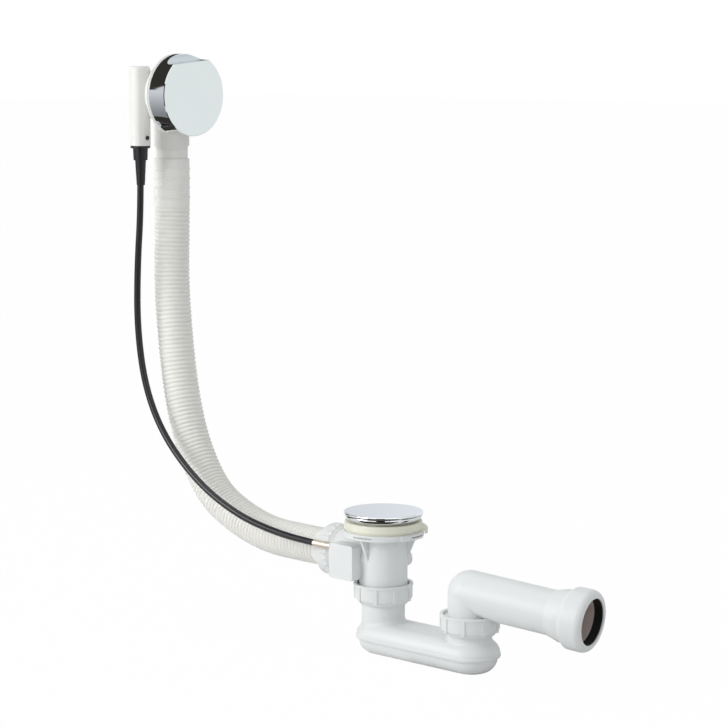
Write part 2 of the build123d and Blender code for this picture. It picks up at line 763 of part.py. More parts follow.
# Clamp flange behind the knob: slotted plate, centre boss, countersunk screw holes
clamp_plane = spindle_plane.offset(seat_x)
with BuildPart() as clamp_flange:
    with BuildSketch(clamp_plane):
        Circle(clamp_flange_radius)
    extrude(amount=clamp_flange_thick)
    with BuildSketch(clamp_plane.offset(-clamp_boss_height)):
        Circle(clamp_boss_radius)
    extrude(amount=clamp_boss_height)
    with BuildSketch(clamp_plane):
        with PolarLocations(0, 4, start_angle=45):
            SlotArc(CenterArc((0, 0), slot_mid_radius, -27, 54), slot_width)
    extrude(amount=clamp_flange_thick, mode=Mode.SUBTRACT)
    with BuildSketch(clamp_plane.offset(clamp_flange_thick)):
        Circle(spindle_radius + shaft_clearance + o_ring_section + seat_gap)
    extrude(amount=-o_ring_section - 2 * seat_gap, mode=Mode.SUBTRACT)
    with BuildSketch(clamp_plane.offset(-clamp_boss_height)):
        Circle(spindle_radius + shaft_clearance)
    extrude(amount=clamp_boss_height + clamp_flange_thick, mode=Mode.SUBTRACT)
    with Locations(clamp_plane.offset(clamp_flange_thick)):
        with Locations((0, screw_offset), (0, -screw_offset)):
            CounterSinkHole(screw_radius + seat_gap, screw_head_radius + seat_gap,
                            depth=clamp_flange_thick, counter_sink_angle=90)
    fillet(circles_of(clamp_flange, clamp_flange_radius).sort_by(Axis.X)[-1], 1.0)
clamp_flange.part.label = "clamp_flange"
export_step(clamp_flange.part, "parts/clamp_flange.step")

clamp_screw_length = 14.0
with BuildPart() as clamp_screws:
    with BuildSketch(clamp_plane.offset(clamp_flange_thick)):
        with Locations((0, screw_offset), (0, -screw_offset)):
            Circle(screw_radius)
    extrude(amount=-clamp_screw_length)
    for side in (screw_offset, -screw_offset):
        with BuildSketch(Plane(origin=(clamp_front_x, 0, knob_z + side), x_dir=(1, 0, 0), z_dir=(0, -1, 0))):
            with BuildLine():
                Polyline((0, 0), (0, screw_head_radius), (screw_radius - screw_head_radius, screw_radius),
                         (screw_radius - screw_head_radius, 0), close=True)
            make_face()
        revolve(axis=Axis((0, 0, knob_z + side), (1, 0, 0)))
    with BuildSketch(clamp_plane.offset(clamp_flange_thick)):
        with Locations((0, screw_offset), (0, -screw_offset)):
            Rectangle(3.6, 0.8)
            Rectangle(0.8, 3.6)
    extrude(amount=-1.2, mode=Mode.SUBTRACT)
clamp_screws.part.label = "clamp_screws"
export_step(clamp_screws.part, "parts/clamp_screws.step")

with BuildPart() as overflow_gasket:
    with BuildSketch(spindle_plane.offset(seat_x)):
        Circle(overflow_gasket_radius)
    extrude(amount=-overflow_gasket_thick)
    fillet(circles_of(overflow_gasket, overflow_gasket_radius), 0.8)
    with BuildSketch(spindle_plane.offset(seat_x)):
        Circle(overflow_gasket_bore)
    extrude(amount=-overflow_gasket_thick, mode=Mode.SUBTRACT)
overflow_gasket.part.label = "overflow_gasket"
export_step(overflow_gasket.part, "parts/overflow_gasket.step")

# Overflow body: round chamber, cable housing and spigot, hollowed in the same order
head_plane = spindle_plane.offset(seat_x - overflow_gasket_thick)
spigot_axis = Axis((spigot_x, spigot_y, 0), (0, 0, 1))
web_low_z = slider_low_z + slider_web_low


def spigot_profile(radius, low_z, high_z, dome):
    """Half section of a round-topped cylinder on the spigot's axis."""
    with BuildSketch(Plane(origin=(spigot_x, spigot_y, 0), x_dir=(1, 0, 0), z_dir=(0, -1, 0))) as half:
        with BuildLine():
            Polyline((0, high_z), (0, low_z), (radius, low_z), (radius, high_z - dome))
            RadiusArc((radius, high_z - dome), (radius - dome, high_z), -dome)
            Line((radius - dome, high_z), (0, high_z))
        make_face()
    return half.sketch


with BuildPart() as overflow_body:
    with BuildSketch(head_plane):
        Circle(head_flange_radius)
    extrude(amount=-head_flange_thick)
    with BuildSketch(head_plane):
        Circle(chamber_radius)
    extrude(amount=-chamber_depth)
    fillet(circles_of(overflow_body, chamber_radius).sort_by(Axis.X)[0], 1.6)
    with BuildSketch(Plane.XY.offset(housing_low_z)):
        with Locations((housing_x, housing_y)):
            Circle(housing_radius)
    extrude(amount=housing_high_z - housing_low_z)
    fillet(circles_of(overflow_body, housing_radius).sort_by(Axis.Z)[-1], housing_edge)
    revolve(spigot_profile(spigot_radius, spigot_low_z, spigot_high_z, spigot_dome), axis=spigot_axis)
    with BuildSketch(Plane.XY.offset(spigot_low_z)):
        with Locations((spigot_x, spigot_y)):
            Circle(spigot_groove)
    extrude(amount=cuff_high_z - spigot_low_z)
    with BuildSketch(Plane.XY.offset(cuff_high_z)):
        with Locations((spigot_x, spigot_y)):
            Circle(spigot_insert_radius)
    extrude(amount=-spigot_insert_length)
    with BuildSketch(head_plane):
        Circle(chamber_radius - chamber_wall)
    extrude(amount=-chamber_depth + chamber_wall, mode=Mode.SUBTRACT)
    with BuildSketch(Plane.XY.offset(cuff_high_z - spigot_insert_length)):
        with Locations((spigot_x, spigot_y)):
            Circle(spigot_bore)
    extrude(amount=spigot_low_z - cuff_high_z + spigot_insert_length + spigot_wall, mode=Mode.SUBTRACT)
    revolve(spigot_profile(spigot_radius - spigot_wall, spigot_low_z + spigot_wall, spigot_high_z - spigot_wall,
                           spigot_dome - spigot_wall), axis=spigot_axis, mode=Mode.SUBTRACT)
    with BuildSketch(Plane.XY.offset(housing_low_z)):
        with Locations((housing_x, housing_y)):
            Circle(housing_bore)
    extrude(amount=housing_high_z - housing_low_z - 3, mode=Mode.SUBTRACT)
    with BuildSketch(Plane.XY.offset(web_low_z - run_gap)):
        with Locations((housing_x, housing_y)):
            Rectangle(chamber_floor_x - housing_x + 1, slider_web_width + 2 * run_gap,
                      align=(Align.MIN, Align.CENTER))
    extrude(amount=slider_web_length + wire_travel + 2 * run_gap, mode=Mode.SUBTRACT)
    with BuildSketch(spindle_plane.offset(chamber_rear_x - 2)):
        Circle(tail_journal_radius + 2.2)
    extrude(amount=chamber_wall + 2)
    with BuildSketch(spindle_plane.offset(tail_rear_x - run_gap)):
        Circle(tail_journal_radius + shaft_clearance)
    extrude(amount=chamber_wall + 2, mode=Mode.SUBTRACT)
    with BuildSketch(spindle_plane.offset(chamber_floor_x)):
        with Locations((0, screw_offset), (0, -screw_offset)):
            Circle(screw_boss_radius)
    extrude(amount=seat_x - run_gap - chamber_floor_x)
    with BuildSketch(spindle_plane.offset(chamber_floor_x)):
        with Locations((0, screw_offset), (0, -screw_offset)):
            Circle(screw_radius + seat_gap)
    extrude(amount=seat_x - chamber_floor_x, mode=Mode.SUBTRACT)
    with BuildSketch(Plane(origin=(housing_x, housing_y, gland_screw_z), x_dir=(0, 1, 0), z_dir=(1, 0, 0))):
        Circle(gland_screw_radius + seat_gap)
    extrude(amount=housing_radius + 1, mode=Mode.SUBTRACT)
overflow_body.part.label = "overflow_body"
export_step(overflow_body.part, "parts/overflow_body.step")

# Slider: round guide in the housing, web through the slot, toothed plate beside the pinion
rack_pitch = pi * tooth_module
rack_line_y = -pitch_radius
rack_low_z = slider_low_z + rack_plate_low
rack_high_z = rack_low_z + rack_plate_length


def rack_outline():
    """Plate with straight-flanked teeth; a space faces the pinion's tooth at rest."""
    lean = tan(radians(pressure_angle))
    tip_y = rack_line_y + tooth_module * 0.92
    root_y = rack_line_y - tooth_module * 1.2
    half_tip = rack_pitch / 4 - flank_gap - (tip_y - rack_line_y) * lean
    half_root = rack_pitch / 4 - flank_gap + (rack_line_y - root_y) * lean
    points = [(rack_plate_start, rack_low_z), (root_y, rack_low_z)]
    first = int((rack_low_z - knob_z) / rack_pitch - 0.5) + 1
    last = int((rack_high_z - knob_z) / rack_pitch - 0.5) - 1
    for tooth in range(first, last + 1):
        middle = knob_z + (tooth + 0.5) * rack_pitch
        points += [(root_y, middle - half_root), (tip_y, middle - half_tip),
                   (tip_y, middle + half_tip), (root_y, middle + half_root)]
    return points + [(root_y, rack_high_z), (rack_plate_start, rack_high_z)]


slider_radius = housing_bore - run_gap
slider_hole_depth = 12.0
with BuildPart() as cable_slider:
    with BuildSketch(Plane.XY.offset(slider_low_z)):
        with Locations((housing_x, housing_y)):
            Circle(slider_radius)
    extrude(amount=slider_length)
    chamfer(circles_of(cable_slider, slider_radius), 0.6)
    with BuildSketch(Plane.XY.offset(web_low_z)):
        with Locations((housing_x, housing_y)):
            Rectangle(pinion_front_x - housing_x, slider_web_width, align=(Align.MIN, Align.CENTER))
    extrude(amount=slider_web_length)
    rack_plane = Plane(origin=(pinion_rear_x, 0, 0), x_dir=(0, 1, 0), z_dir=(1, 0, 0))
    extrude(outline(rack_plane, *rack_outline()), amount=pinion_width)
    with BuildSketch(Plane.XY.offset(slider_low_z)):
        with Locations((housing_x, housing_y)):
            Circle(sheath_bore)
    extrude(amount=slider_hole_depth, mode=Mode.SUBTRACT)
cable_slider.part.label = "cable_slider"
export_step(cable_slider.part, "parts/cable_slider.step")

# Gland: plug in the housing, flange, barrel and tapering sleeve round the cable
gland_axis = Axis((housing_x, housing_y, 0), (0, 0, 1))
gland_low_z = housing_low_z - gland_flange
barrel_low_z = gland_low_z - gland_barrel_length
sleeve_low_z = barrel_low_z - gland_sleeve_length
gland_plug_radius = housing_bore - seat_gap
gland_top_z = housing_low_z + gland_plug_length
sheath_top_z = housing_low_z + gland_seat_depth
sheath_seat = sheath_radius + seat_gap
with BuildPart() as cable_gland:
    with BuildSketch(Plane(origin=(housing_x, housing_y, 0), x_dir=(1, 0, 0), z_dir=(0, -1, 0))):
        with BuildLine():
            Polyline((sheath_bore, sheath_top_z), (sheath_bore, gland_top_z), (gland_plug_radius, gland_top_z),
                     (gland_plug_radius, housing_low_z), (gland_flange_radius, housing_low_z),
                     (gland_flange_radius, gland_low_z), (gland_barrel_radius, gland_low_z),
                     (gland_barrel_radius - 0.5, barrel_low_z), (gland_sleeve_radius, barrel_low_z),
                     (gland_tip_radius, sleeve_low_z), (sheath_seat, sleeve_low_z), (sheath_seat, sheath_top_z),
                     close=True)
        make_face()
    revolve(axis=gland_axis)
    with BuildSketch(Plane(origin=(housing_x, housing_y, gland_screw_z), x_dir=(0, 1, 0), z_dir=(1, 0, 0))):
        Circle(gland_screw_radius + seat_gap)
    extrude(amount=housing_radius + 1, mode=Mode.SUBTRACT)
cable_gland.part.label = "cable_gland"
export_step(cable_gland.part, "parts/cable_gland.step")

with BuildPart() as gland_screw:
    with BuildSketch(Plane(origin=(housing_x + 3, housing_y, gland_screw_z), x_dir=(0, 1, 0), z_dir=(1, 0, 0))):
        Circle(gland_screw_radius)
    extrude(amount=housing_radius - 3)
    with BuildSketch(Plane(origin=(housing_x + housing_radius, housing_y, gland_screw_z),
                           x_dir=(0, 1, 0), z_dir=(1, 0, 0))):
        Circle(gland_screw_head)
    extrude(amount=0.9)
gland_screw.part.label = "gland_screw"
export_step(gland_screw.part, "parts/gland_screw.step")

# Cable: one route for sheath and wire, chosen by hand, from the housing to the block
cable_route = [(housing_x, housing_y, 275), (-298, -25.3, 213), (-298.8, -25.7, 152), (-287.7, -26, 94.3),
               (-260.2, -26.4, 48.6), (-213, -26.8, 10.2), (-162, -27.3, -12.2), (-115, -27.7, -21.7),
               (-70, cable_y, cable_z)]
wire_top_z = slider_low_z + 4
wire_end_x = crank_x - nipple_length / 2 - nipple_tail + 0.5
sheath_end_x = ferrule_end_x - 1.2


def arc_radii(points):
    """Largest arc at each inner point that leaves a tenth of the shorter run straight."""
    radii = []
    for before, corner, after in zip(points, points[1:], points[2:]):
        first = Vector(*corner) - Vector(*before)
        second = Vector(*after) - Vector(*corner)
        shorter = min(first.length, second.length)
        radii.append(0.45 * shorter / tan(radians(first.get_angle(second)) / 2))
    return radii


def tube_along(points, outer, bore):
    """Round tube on straight runs joined by tangent arcs; prints its arcs, length and volumes."""
    radii = arc_radii(points)
    with BuildPart() as tube:
        with BuildLine() as path:
            FilletPolyline(*points, radius=radii)
        with BuildSketch(Plane(origin=points[0], z_dir=Vector(*points[1]) - Vector(*points[0]))):
            Circle(outer)
            if bore:
                Circle(bore, mode=Mode.SUBTRACT)
        sweep(path=path.wires()[0])
    length = path.wires()[0].length
    print("arcs", [round(radius) for radius in radii], "length", round(length, 1),
          "volume", round(tube.part.volume), "section by length", round(length * pi * (outer ** 2 - bore ** 2)))
    return tube.part


with BuildPart() as cable_sheath:
    add(tube_along([(housing_x, housing_y, sheath_top_z)] + cable_route + [(sheath_end_x, cable_y, cable_z)],
                   sheath_radius, sheath_bore))
    with BuildSketch(Plane(origin=(ferrule_start_x, cable_y, cable_z), x_dir=(0, 1, 0), z_dir=(1, 0, 0))):
        Circle(sheath_radius + 1)
        Circle(sheath_radius - 0.6, mode=Mode.SUBTRACT)
    extrude(amount=sheath_end_x - ferrule_start_x + 1, mode=Mode.SUBTRACT)
cable_sheath.part.label = "cable_sheath"
export_step(cable_sheath.part, "parts/cable_sheath.step")

with BuildPart() as inner_wire:
    add(tube_along([(housing_x, housing_y, wire_top_z)] + cable_route + [(wire_end_x, cable_y, cable_z)],
                   wire_radius, 0))
inner_wire.part.label = "inner_wire"
export_step(inner_wire.part, "parts/inner_wire.step")

with BuildPart() as lower_ferrule:
    with BuildSketch(Plane(origin=(ferrule_start_x, cable_y, cable_z), x_dir=(0, 1, 0), z_dir=(1, 0, 0))):
        Circle(sheath_radius)
    extrude(amount=ferrule_end_x - ferrule_start_x)
    with BuildSketch(Plane(origin=(ferrule_start_x, cable_y, cable_z), x_dir=(0, 1, 0), z_dir=(1, 0, 0))):
        Circle(sheath_radius - 0.6 + 0.05)
    extrude(amount=sheath_end_x - ferrule_start_x, mode=Mode.SUBTRACT)
    with BuildSketch(Plane(origin=(ferrule_start_x, cable_y, cable_z), x_dir=(0, 1, 0), z_dir=(1, 0, 0))):
        Circle(sheath_bore)
    extrude(amount=ferrule_end_x - ferrule_start_x, mode=Mode.SUBTRACT)
lower_ferrule.part.label = "lower_ferrule"
export_step(lower_ferrule.part, "parts/lower_ferrule.step")

# Hose: straight cuff with rings, bellows along the route, straight cuff in the nut
hose_end_x = -inlet_end - washer_thick
hose_route = [(spigot_x, spigot_y, cuff_high_z), (spigot_x, spigot_y, 262), (-290.5, 12.2, 200),
              (-282.6, 9.6, 140), (-271.5, 7.3, 84), (-254.5, 5.6, 37.3), (-226.5, 4.0, -2.6),
              (-193, 2.7, -21), (-148, 1.0, -33.8), (-106, 0, inlet_z), (hose_end_x, 0, inlet_z)]
with BuildPart() as overflow_hose:
    with BuildLine() as hose_path:
        FilletPolyline(*hose_route, radius=arc_radii(hose_route))
    hose_wire = hose_path.wires()[0]
    hose_length = hose_wire.length
    bellows_length = hose_length - cuff_length - end_cuff_length
    bellows_count = round(bellows_length / bellows_pitch)

    def ring_at(distance, radius):
        """Round section of the hose at this distance along its route."""
        place = distance / hose_length
        with BuildSketch(Plane(origin=hose_wire.position_at(place), x_dir=(0, 1, 0),
                               z_dir=hose_wire.tangent_at(place))) as ring:
            Circle(radius)
        return ring.sketch.faces()[0]

    stations = [(0, cuff_lip_radius - 0.7), (0.9, cuff_lip_radius), (cuff_lip_length, cuff_lip_radius),
                (cuff_lip_length + 1, cuff_radius)]
    for ring in range(cuff_ring_count):
        middle = cuff_ring_first + ring * cuff_ring_pitch
        stations += [(middle - cuff_ring_width, cuff_radius), (middle - 0.4, cuff_radius + cuff_ring_height),
                     (middle + 0.4, cuff_radius + cuff_ring_height), (middle + cuff_ring_width, cuff_radius)]
    stations += [(cuff_length - 1, cuff_radius)]
    step = bellows_length / bellows_count
    for turn in range(bellows_count):
        stations += [(cuff_length + turn * step, bellows_valley), (cuff_length + (turn + 0.5) * step, bellows_crest)]
    stations += [(hose_length - end_cuff_length, bellows_valley), (hose_length - end_cuff_length + 1, cuff_radius),
                 (hose_length, cuff_radius)]
    loft([ring_at(distance, radius) for distance, radius in stations], ruled=True)
    with BuildSketch(Plane(origin=(hose_end_x, 0, inlet_z), x_dir=(0, 1, 0), z_dir=(-1, 0, 0))):
        Circle(hose_collar_radius)
    extrude(amount=hose_collar_width)
    bore_steps = bellows_count // 4
    bore_stations = [0] + [cuff_length + bellows_length * turn / bore_steps for turn in range(bore_steps)]
    loft([ring_at(distance, cuff_bore) for distance in bore_stations + [hose_length]], ruled=True,
         mode=Mode.SUBTRACT)
print("hose arcs", [round(radius) for radius in arc_radii(hose_route)], "length", round(hose_length, 1),
      "turns", bellows_count, "volume", round(overflow_hose.part.volume))
overflow_hose.part.label = "overflow_hose"
export_step(overflow_hose.part, "parts/overflow_hose.step")

with BuildPart() as hose_washer:
    with BuildSketch(Plane(origin=(hose_end_x, 0, inlet_z), x_dir=(0, 1, 0), z_dir=(1, 0, 0))):
        Circle(hose_collar_radius)
        Circle(inlet_bore, mode=Mode.SUBTRACT)
    extrude(amount=washer_thick)
hose_washer.part.label = "hose_washer"
export_step(hose_washer.part, "parts/hose_washer.step")

hose_nut_front_x = -inlet_shoulder - 1.4
hose_nut_rear_x = hose_end_x - hose_collar_width - seat_gap - nut_lip
with BuildPart() as hose_nut:
    with BuildSketch(Plane.XZ):
        with BuildLine():
            Polyline((hose_nut_front_x, inlet_thread_radius + thread_clearance), (hose_nut_front_x, hose_nut_radius),
                     (hose_nut_rear_x + hose_nut_taper, hose_nut_radius),
                     (hose_nut_rear_x, hose_nut_radius - hose_nut_taper),
                     (hose_nut_rear_x, cuff_radius + run_gap), (hose_nut_rear_x + nut_lip, cuff_radius + run_gap),
                     (hose_nut_rear_x + nut_lip, inlet_thread_radius + thread_clearance), close=True)
        make_face()
    revolve(axis=Axis.X)
    fillet(circles_of(hose_nut, hose_nut_radius).sort_by(Axis.X)[-1], 0.6)
hose_nut.part = hose_nut.part.moved(Location((0, 0, inlet_z)))
hose_nut.part.label = "hose_nut"
export_step(hose_nut.part, "parts/hose_nut.step")

# Trap joints: each has a nut, a collar held in it, a washer and a threaded tail
inlet_joint_z = tail_low_z - washer_thick - trap_collar_width - seat_gap - nut_lip_height
outlet_joint_z = outlet_nut_foot_z
thread_low = nut_lip_height + seat_gap + trap_collar_width + washer_thick
trap_bore_gap = trap_tube_radius + run_gap


def half_section(x, foot_z, *points):
    """Half section in the XZ plane, given as radius and height above a joint's foot, turned about Z."""
    with BuildPart() as turned:
        revolve(outline(Plane(origin=(x, 0, foot_z), x_dir=(1, 0, 0), z_dir=(0, -1, 0)), *points),
                axis=Axis((x, 0, 0), (0, 0, 1)))
    return turned.part


def union_nut(x, foot_z):
    """Plastic union nut: tapered foot, straight grip with ribs, wider rim."""
    top = nut_straight + nut_taper
    with BuildPart() as nut:
        add(half_section(x, foot_z, (nut_foot_radius, 0), (nut_radius, nut_taper), (nut_radius, top - nut_rim_height),
                         (nut_rim_radius, top - nut_rim_height), (nut_rim_radius, top), (nut_bore, top),
                         (nut_bore, thread_low - washer_thick), (trap_collar_radius + run_gap, thread_low - washer_thick),
                         (trap_collar_radius + run_gap, nut_lip_height), (trap_bore_gap, nut_lip_height),
                         (trap_bore_gap, 0)))
        with BuildSketch(Plane.XY.offset(foot_z + nut_rib_foot)):
            with Locations((x, 0)):
                with PolarLocations(0, nut_ribs, start_angle=nut_rib_angle):
                    Rectangle(nut_radius + nut_rib_depth, nut_rib_width, align=(Align.MIN, Align.CENTER))
                Circle(nut_bore + 0.2, mode=Mode.SUBTRACT)
        extrude(amount=top - nut_rim_height - nut_rib_foot)
    return nut.part


def washer(x, foot_z):
    """Flat washer between collar and thread."""
    low = thread_low - washer_thick
    return half_section(x, foot_z, (trap_tube_bore, low), (nut_bore - run_gap, low), (nut_bore - run_gap, thread_low),
                        (trap_tube_bore, thread_low))


def export_piece(shape, name):
    """Wraps a ready shape in a builder of its own and writes it."""
    with BuildPart() as piece:
        add(shape)
    piece.part.label = name
    export_step(piece.part, "parts/" + name + ".step")
    return piece.part


export_piece(union_nut(0, inlet_joint_z), "trap_inlet_nut")
export_piece(washer(0, inlet_joint_z), "trap_inlet_washer")
export_piece(union_nut(trap_span, outlet_joint_z), "trap_outlet_nut")
export_piece(washer(trap_span, outlet_joint_z), "trap_outlet_washer")

# Flat trap: two shells with rounded ends, and two collared tubes on the upper one
collar_low = nut_lip_height + seat_gap
collar_high = collar_low + trap_collar_width


def stadium(height, radius):
    """Long rounded outline of the pan at this height."""
    with BuildSketch(Plane.XY.offset(height)) as flat:
        with Locations((trap_span / 2 + trap_shift, 0)):
            SlotCenterToCenter(trap_span, 2 * radius)
    return flat.sketch


def upper_form(radius, top_z, rounding):
    """Upper half of the pan as a solid: straight at the seam, widely rounded at the top."""
    with BuildPart() as form:
        extrude(stadium(trap_seam_z, radius), amount=top_z - trap_seam_z)
        fillet(form.edges().group_by(Axis.Z)[-1], rounding)
    return form.part


def lower_form(radius, bottom_z, rounding):
    """Lower half of the pan as a solid."""
    with BuildPart() as form:
        extrude(stadium(bottom_z, radius), amount=trap_seam_z - bottom_z)
        fillet(form.edges().group_by(Axis.Z)[0], rounding)
    return form.part


with BuildPart() as trap_baffle:
    add(upper_form(trap_radius - trap_wall / 2, trap_top_z - trap_wall / 2, trap_shoulder - trap_wall / 2))
    with BuildSketch(Plane.XY.offset(trap_seam_z)):
        with Locations((trap_span / 2 + trap_shift, 0)):
            Rectangle(baffle_thick, 2 * trap_radius)
    extrude(amount=trap_top_z - trap_seam_z, mode=Mode.INTERSECT)
    with BuildSketch(Plane.XY.offset(trap_seam_z + 2)):
        with Locations((trap_span / 2 + trap_shift, 0)):
            Rectangle(baffle_thick, 2 * (trap_radius - trap_lower_inset - trap_wall) - 2)
    extrude(amount=-2 - baffle_depth / 2)
with BuildPart() as trap_upper_shell:
    add(upper_form(trap_radius, trap_top_z, trap_shoulder))
    for x, foot_z in ((0, inlet_joint_z), (trap_span, outlet_joint_z)):
        add(half_section(x, foot_z, (0, trap_top_z - foot_z - trap_shoulder), (0, collar_high),
                         (trap_collar_radius, collar_high), (trap_collar_radius, collar_low),
                         (trap_tube_radius, collar_low), (trap_tube_radius, trap_top_z - foot_z - trap_shoulder)))
    base_rings = circles_of(trap_upper_shell, trap_tube_radius).filter_by(
        lambda edge: trap_top_z - 1 < edge.center().Z < trap_top_z + 1)
    fillet(base_rings, trap_tube_fillet)
    add(upper_form(trap_radius - trap_wall, trap_top_z - trap_wall, trap_shoulder - trap_wall), mode=Mode.SUBTRACT)
    for x, foot_z in ((0, inlet_joint_z), (trap_span, outlet_joint_z)):
        with BuildSketch(Plane.XY.offset(trap_seam_z)):
            with Locations((x, 0)):
                Circle(trap_tube_bore)
        extrude(amount=foot_z + collar_high - trap_seam_z, mode=Mode.SUBTRACT)
    add(trap_baffle.part)
trap_upper_shell.part.label = "trap_upper_shell"
export_step(trap_upper_shell.part, "parts/trap_upper_shell.step")

with BuildPart() as trap_lower_shell:
    add(lower_form(trap_radius - trap_lower_inset, trap_bottom_z, trap_floor_round))
    add(lower_form(trap_radius - trap_lower_inset - trap_wall, trap_bottom_z + trap_wall,
                   trap_floor_round - trap_wall), mode=Mode.SUBTRACT)
trap_lower_shell.part.label = "trap_lower_shell"
export_step(trap_lower_shell.part, "parts/trap_lower_shell.step")

# Outlet bend: threaded tail, tight round bend, pipe and flared socket
bend_point = Vector(trap_span, 0, bend_z)
swivel = radians(outlet_swivel)
droop = radians(outlet_droop)
pipe_way = Vector(cos(droop) * cos(swivel), cos(droop) * sin(swivel), -sin(droop))
pipe_side = Vector(-sin(swivel), cos(swivel), 0)
pipe_plane = Plane(origin=bend_point, x_dir=pipe_side, z_dir=pipe_way)
pipe_section = Plane(origin=bend_point, x_dir=pipe_way, z_dir=pipe_side)
pipe_axis = Axis(bend_point, pipe_way)
pipe_bore = pipe_radius - pipe_wall
bend_tail_low_z = outlet_joint_z + thread_low
relief_z = outlet_joint_z + nut_straight + nut_taper + run_gap
with BuildPart() as outlet_bend:
    add(half_section(trap_span, bend_tail_low_z, (0, 0), (tail_thread_radius, 0), (tail_thread_radius, tail_length),
                     (pipe_radius, tail_length + 1), (pipe_radius, bend_z - bend_tail_low_z),
                     (0, bend_z - bend_tail_low_z)))
    with Locations(bend_point):
        Sphere(pipe_radius)
    revolve(outline(pipe_section, (0, 0), (0, pipe_radius), (flare_start, pipe_radius), (flare_end, socket_radius),
                    (socket_end, socket_radius), (socket_end, 0)), axis=pipe_axis)
    with BuildSketch(Plane.XY.offset(relief_z)):
        with Locations((trap_span, 0)):
            Circle(nut_rim_radius + run_gap)
            Circle(pipe_radius, mode=Mode.SUBTRACT)
    extrude(amount=bend_tail_low_z + tail_length + 1 - relief_z, mode=Mode.SUBTRACT)
    with BuildSketch(Plane.XY.offset(bend_tail_low_z)):
        with Locations((trap_span, 0)):
            Circle(nut_rim_radius + run_gap)
            Circle(tail_thread_radius, mode=Mode.SUBTRACT)
    extrude(amount=tail_length + 1, mode=Mode.SUBTRACT)
    add(half_section(trap_span, bend_tail_low_z, (0, 0), (pipe_bore, 0), (pipe_bore, tail_length),
                     (knuckle_bore, bend_z - knuckle_bore - bend_tail_low_z), (knuckle_bore, bend_z - bend_tail_low_z),
                     (0, bend_z - bend_tail_low_z)), mode=Mode.SUBTRACT)
    with Locations(bend_point):
        Sphere(knuckle_bore, mode=Mode.SUBTRACT)
    revolve(outline(pipe_section, (0, 0), (0, knuckle_bore), (knuckle_end, knuckle_bore),
                    (knuckle_end + 6, pipe_bore), (socket_end, pipe_bore), (socket_end, 0)),
            axis=pipe_axis, mode=Mode.SUBTRACT)
    with BuildSketch(pipe_plane.offset(socket_stop)):
        Circle(socket_bore)
    extrude(amount=socket_end - socket_stop, mode=Mode.SUBTRACT)
outlet_bend.part.label = "outlet_bend"
export_step(outlet_bend.part, "parts/outlet_bend.step")

mouth_thread = socket_radius + thread_clearance
with BuildPart() as outlet_nut:
    revolve(outline(pipe_section, (mouth_nut_start, mouth_thread), (mouth_nut_start, mouth_nut_radius),
                    (mouth_end, mouth_nut_radius), (mouth_end, mouth_bore), (mouth_end - mouth_lip, mouth_bore),
                    (mouth_end - mouth_lip, mouth_thread)), axis=pipe_axis)
    fillet(circles_of(outlet_nut, mouth_nut_radius).sort_by(pipe_axis)[-1], mouth_nut_round)
    fillet(circles_of(outlet_nut, mouth_nut_radius).sort_by(pipe_axis)[0], 1.0)
outlet_nut.part.label = "outlet_nut"
export_step(outlet_nut.part, "parts/outlet_nut.step")

with BuildPart() as outlet_seal:
    revolve(outline(pipe_section, (socket_end, mouth_seal_bore), (socket_end, socket_radius),
                    (mouth_end - mouth_lip, socket_radius), (mouth_end - mouth_lip, mouth_seal_bore)), axis=pipe_axis)
outlet_seal.part.label = "outlet_seal"
export_step(outlet_seal.part, "parts/outlet_seal.step")
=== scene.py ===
# %% [markdown]
# # A bath waste and overflow, dressed for its portrait
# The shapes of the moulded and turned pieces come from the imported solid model. This lesson gives
# them smooth shading and real finishes, and makes by other means what solid modelling is poor at:
# the corrugated hose, the black cable and the polished chrome faces. Everything is in metres, and
# the waste's axis is Z.

# %% Load the model and measure it
import json
from math import cos, pi, radians, sin

import bmesh
import bpy
from mathutils import Matrix, Vector


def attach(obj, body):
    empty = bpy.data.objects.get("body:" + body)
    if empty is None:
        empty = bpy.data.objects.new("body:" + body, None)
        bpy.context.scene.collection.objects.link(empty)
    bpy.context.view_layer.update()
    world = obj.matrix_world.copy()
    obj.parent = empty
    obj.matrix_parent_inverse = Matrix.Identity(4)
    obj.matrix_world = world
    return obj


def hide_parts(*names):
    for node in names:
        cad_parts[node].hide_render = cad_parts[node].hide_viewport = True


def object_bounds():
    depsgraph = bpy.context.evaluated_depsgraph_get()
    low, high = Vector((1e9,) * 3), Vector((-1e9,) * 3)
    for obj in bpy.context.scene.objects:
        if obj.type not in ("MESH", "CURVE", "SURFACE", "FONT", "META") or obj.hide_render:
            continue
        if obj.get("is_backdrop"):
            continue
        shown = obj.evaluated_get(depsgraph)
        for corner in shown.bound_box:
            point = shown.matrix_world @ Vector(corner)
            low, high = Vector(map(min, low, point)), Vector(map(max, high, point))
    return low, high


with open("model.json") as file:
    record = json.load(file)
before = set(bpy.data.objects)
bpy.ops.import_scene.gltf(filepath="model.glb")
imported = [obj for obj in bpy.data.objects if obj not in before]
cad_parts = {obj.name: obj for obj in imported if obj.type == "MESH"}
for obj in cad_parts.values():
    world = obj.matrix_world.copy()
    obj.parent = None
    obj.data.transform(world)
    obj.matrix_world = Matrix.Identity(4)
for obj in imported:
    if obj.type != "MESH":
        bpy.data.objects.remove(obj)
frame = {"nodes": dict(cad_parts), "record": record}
nodes = frame["nodes"]
record = frame["record"]
cad_low, cad_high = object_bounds()
body_of = {node: body for body, members in record["behaviour"]["bodies"].items() for node in members}
slot_of = {part["node"]: part["material_slot"] for part in record["subparts"]}
scene = bpy.context.scene
print("nodes:", len(nodes), "box:", [round(v, 4) for v in (*cad_low, *cad_high)])

# %% [markdown]
# ## The camera
# The photograph was taken with a long lens, from the front right and only a little above the waste.
# The direction is two angles: how far round the camera stands, and how high. A long lens far away
# keeps the knob's circle and the pipe's mouth nearly free of perspective, as in the photograph.

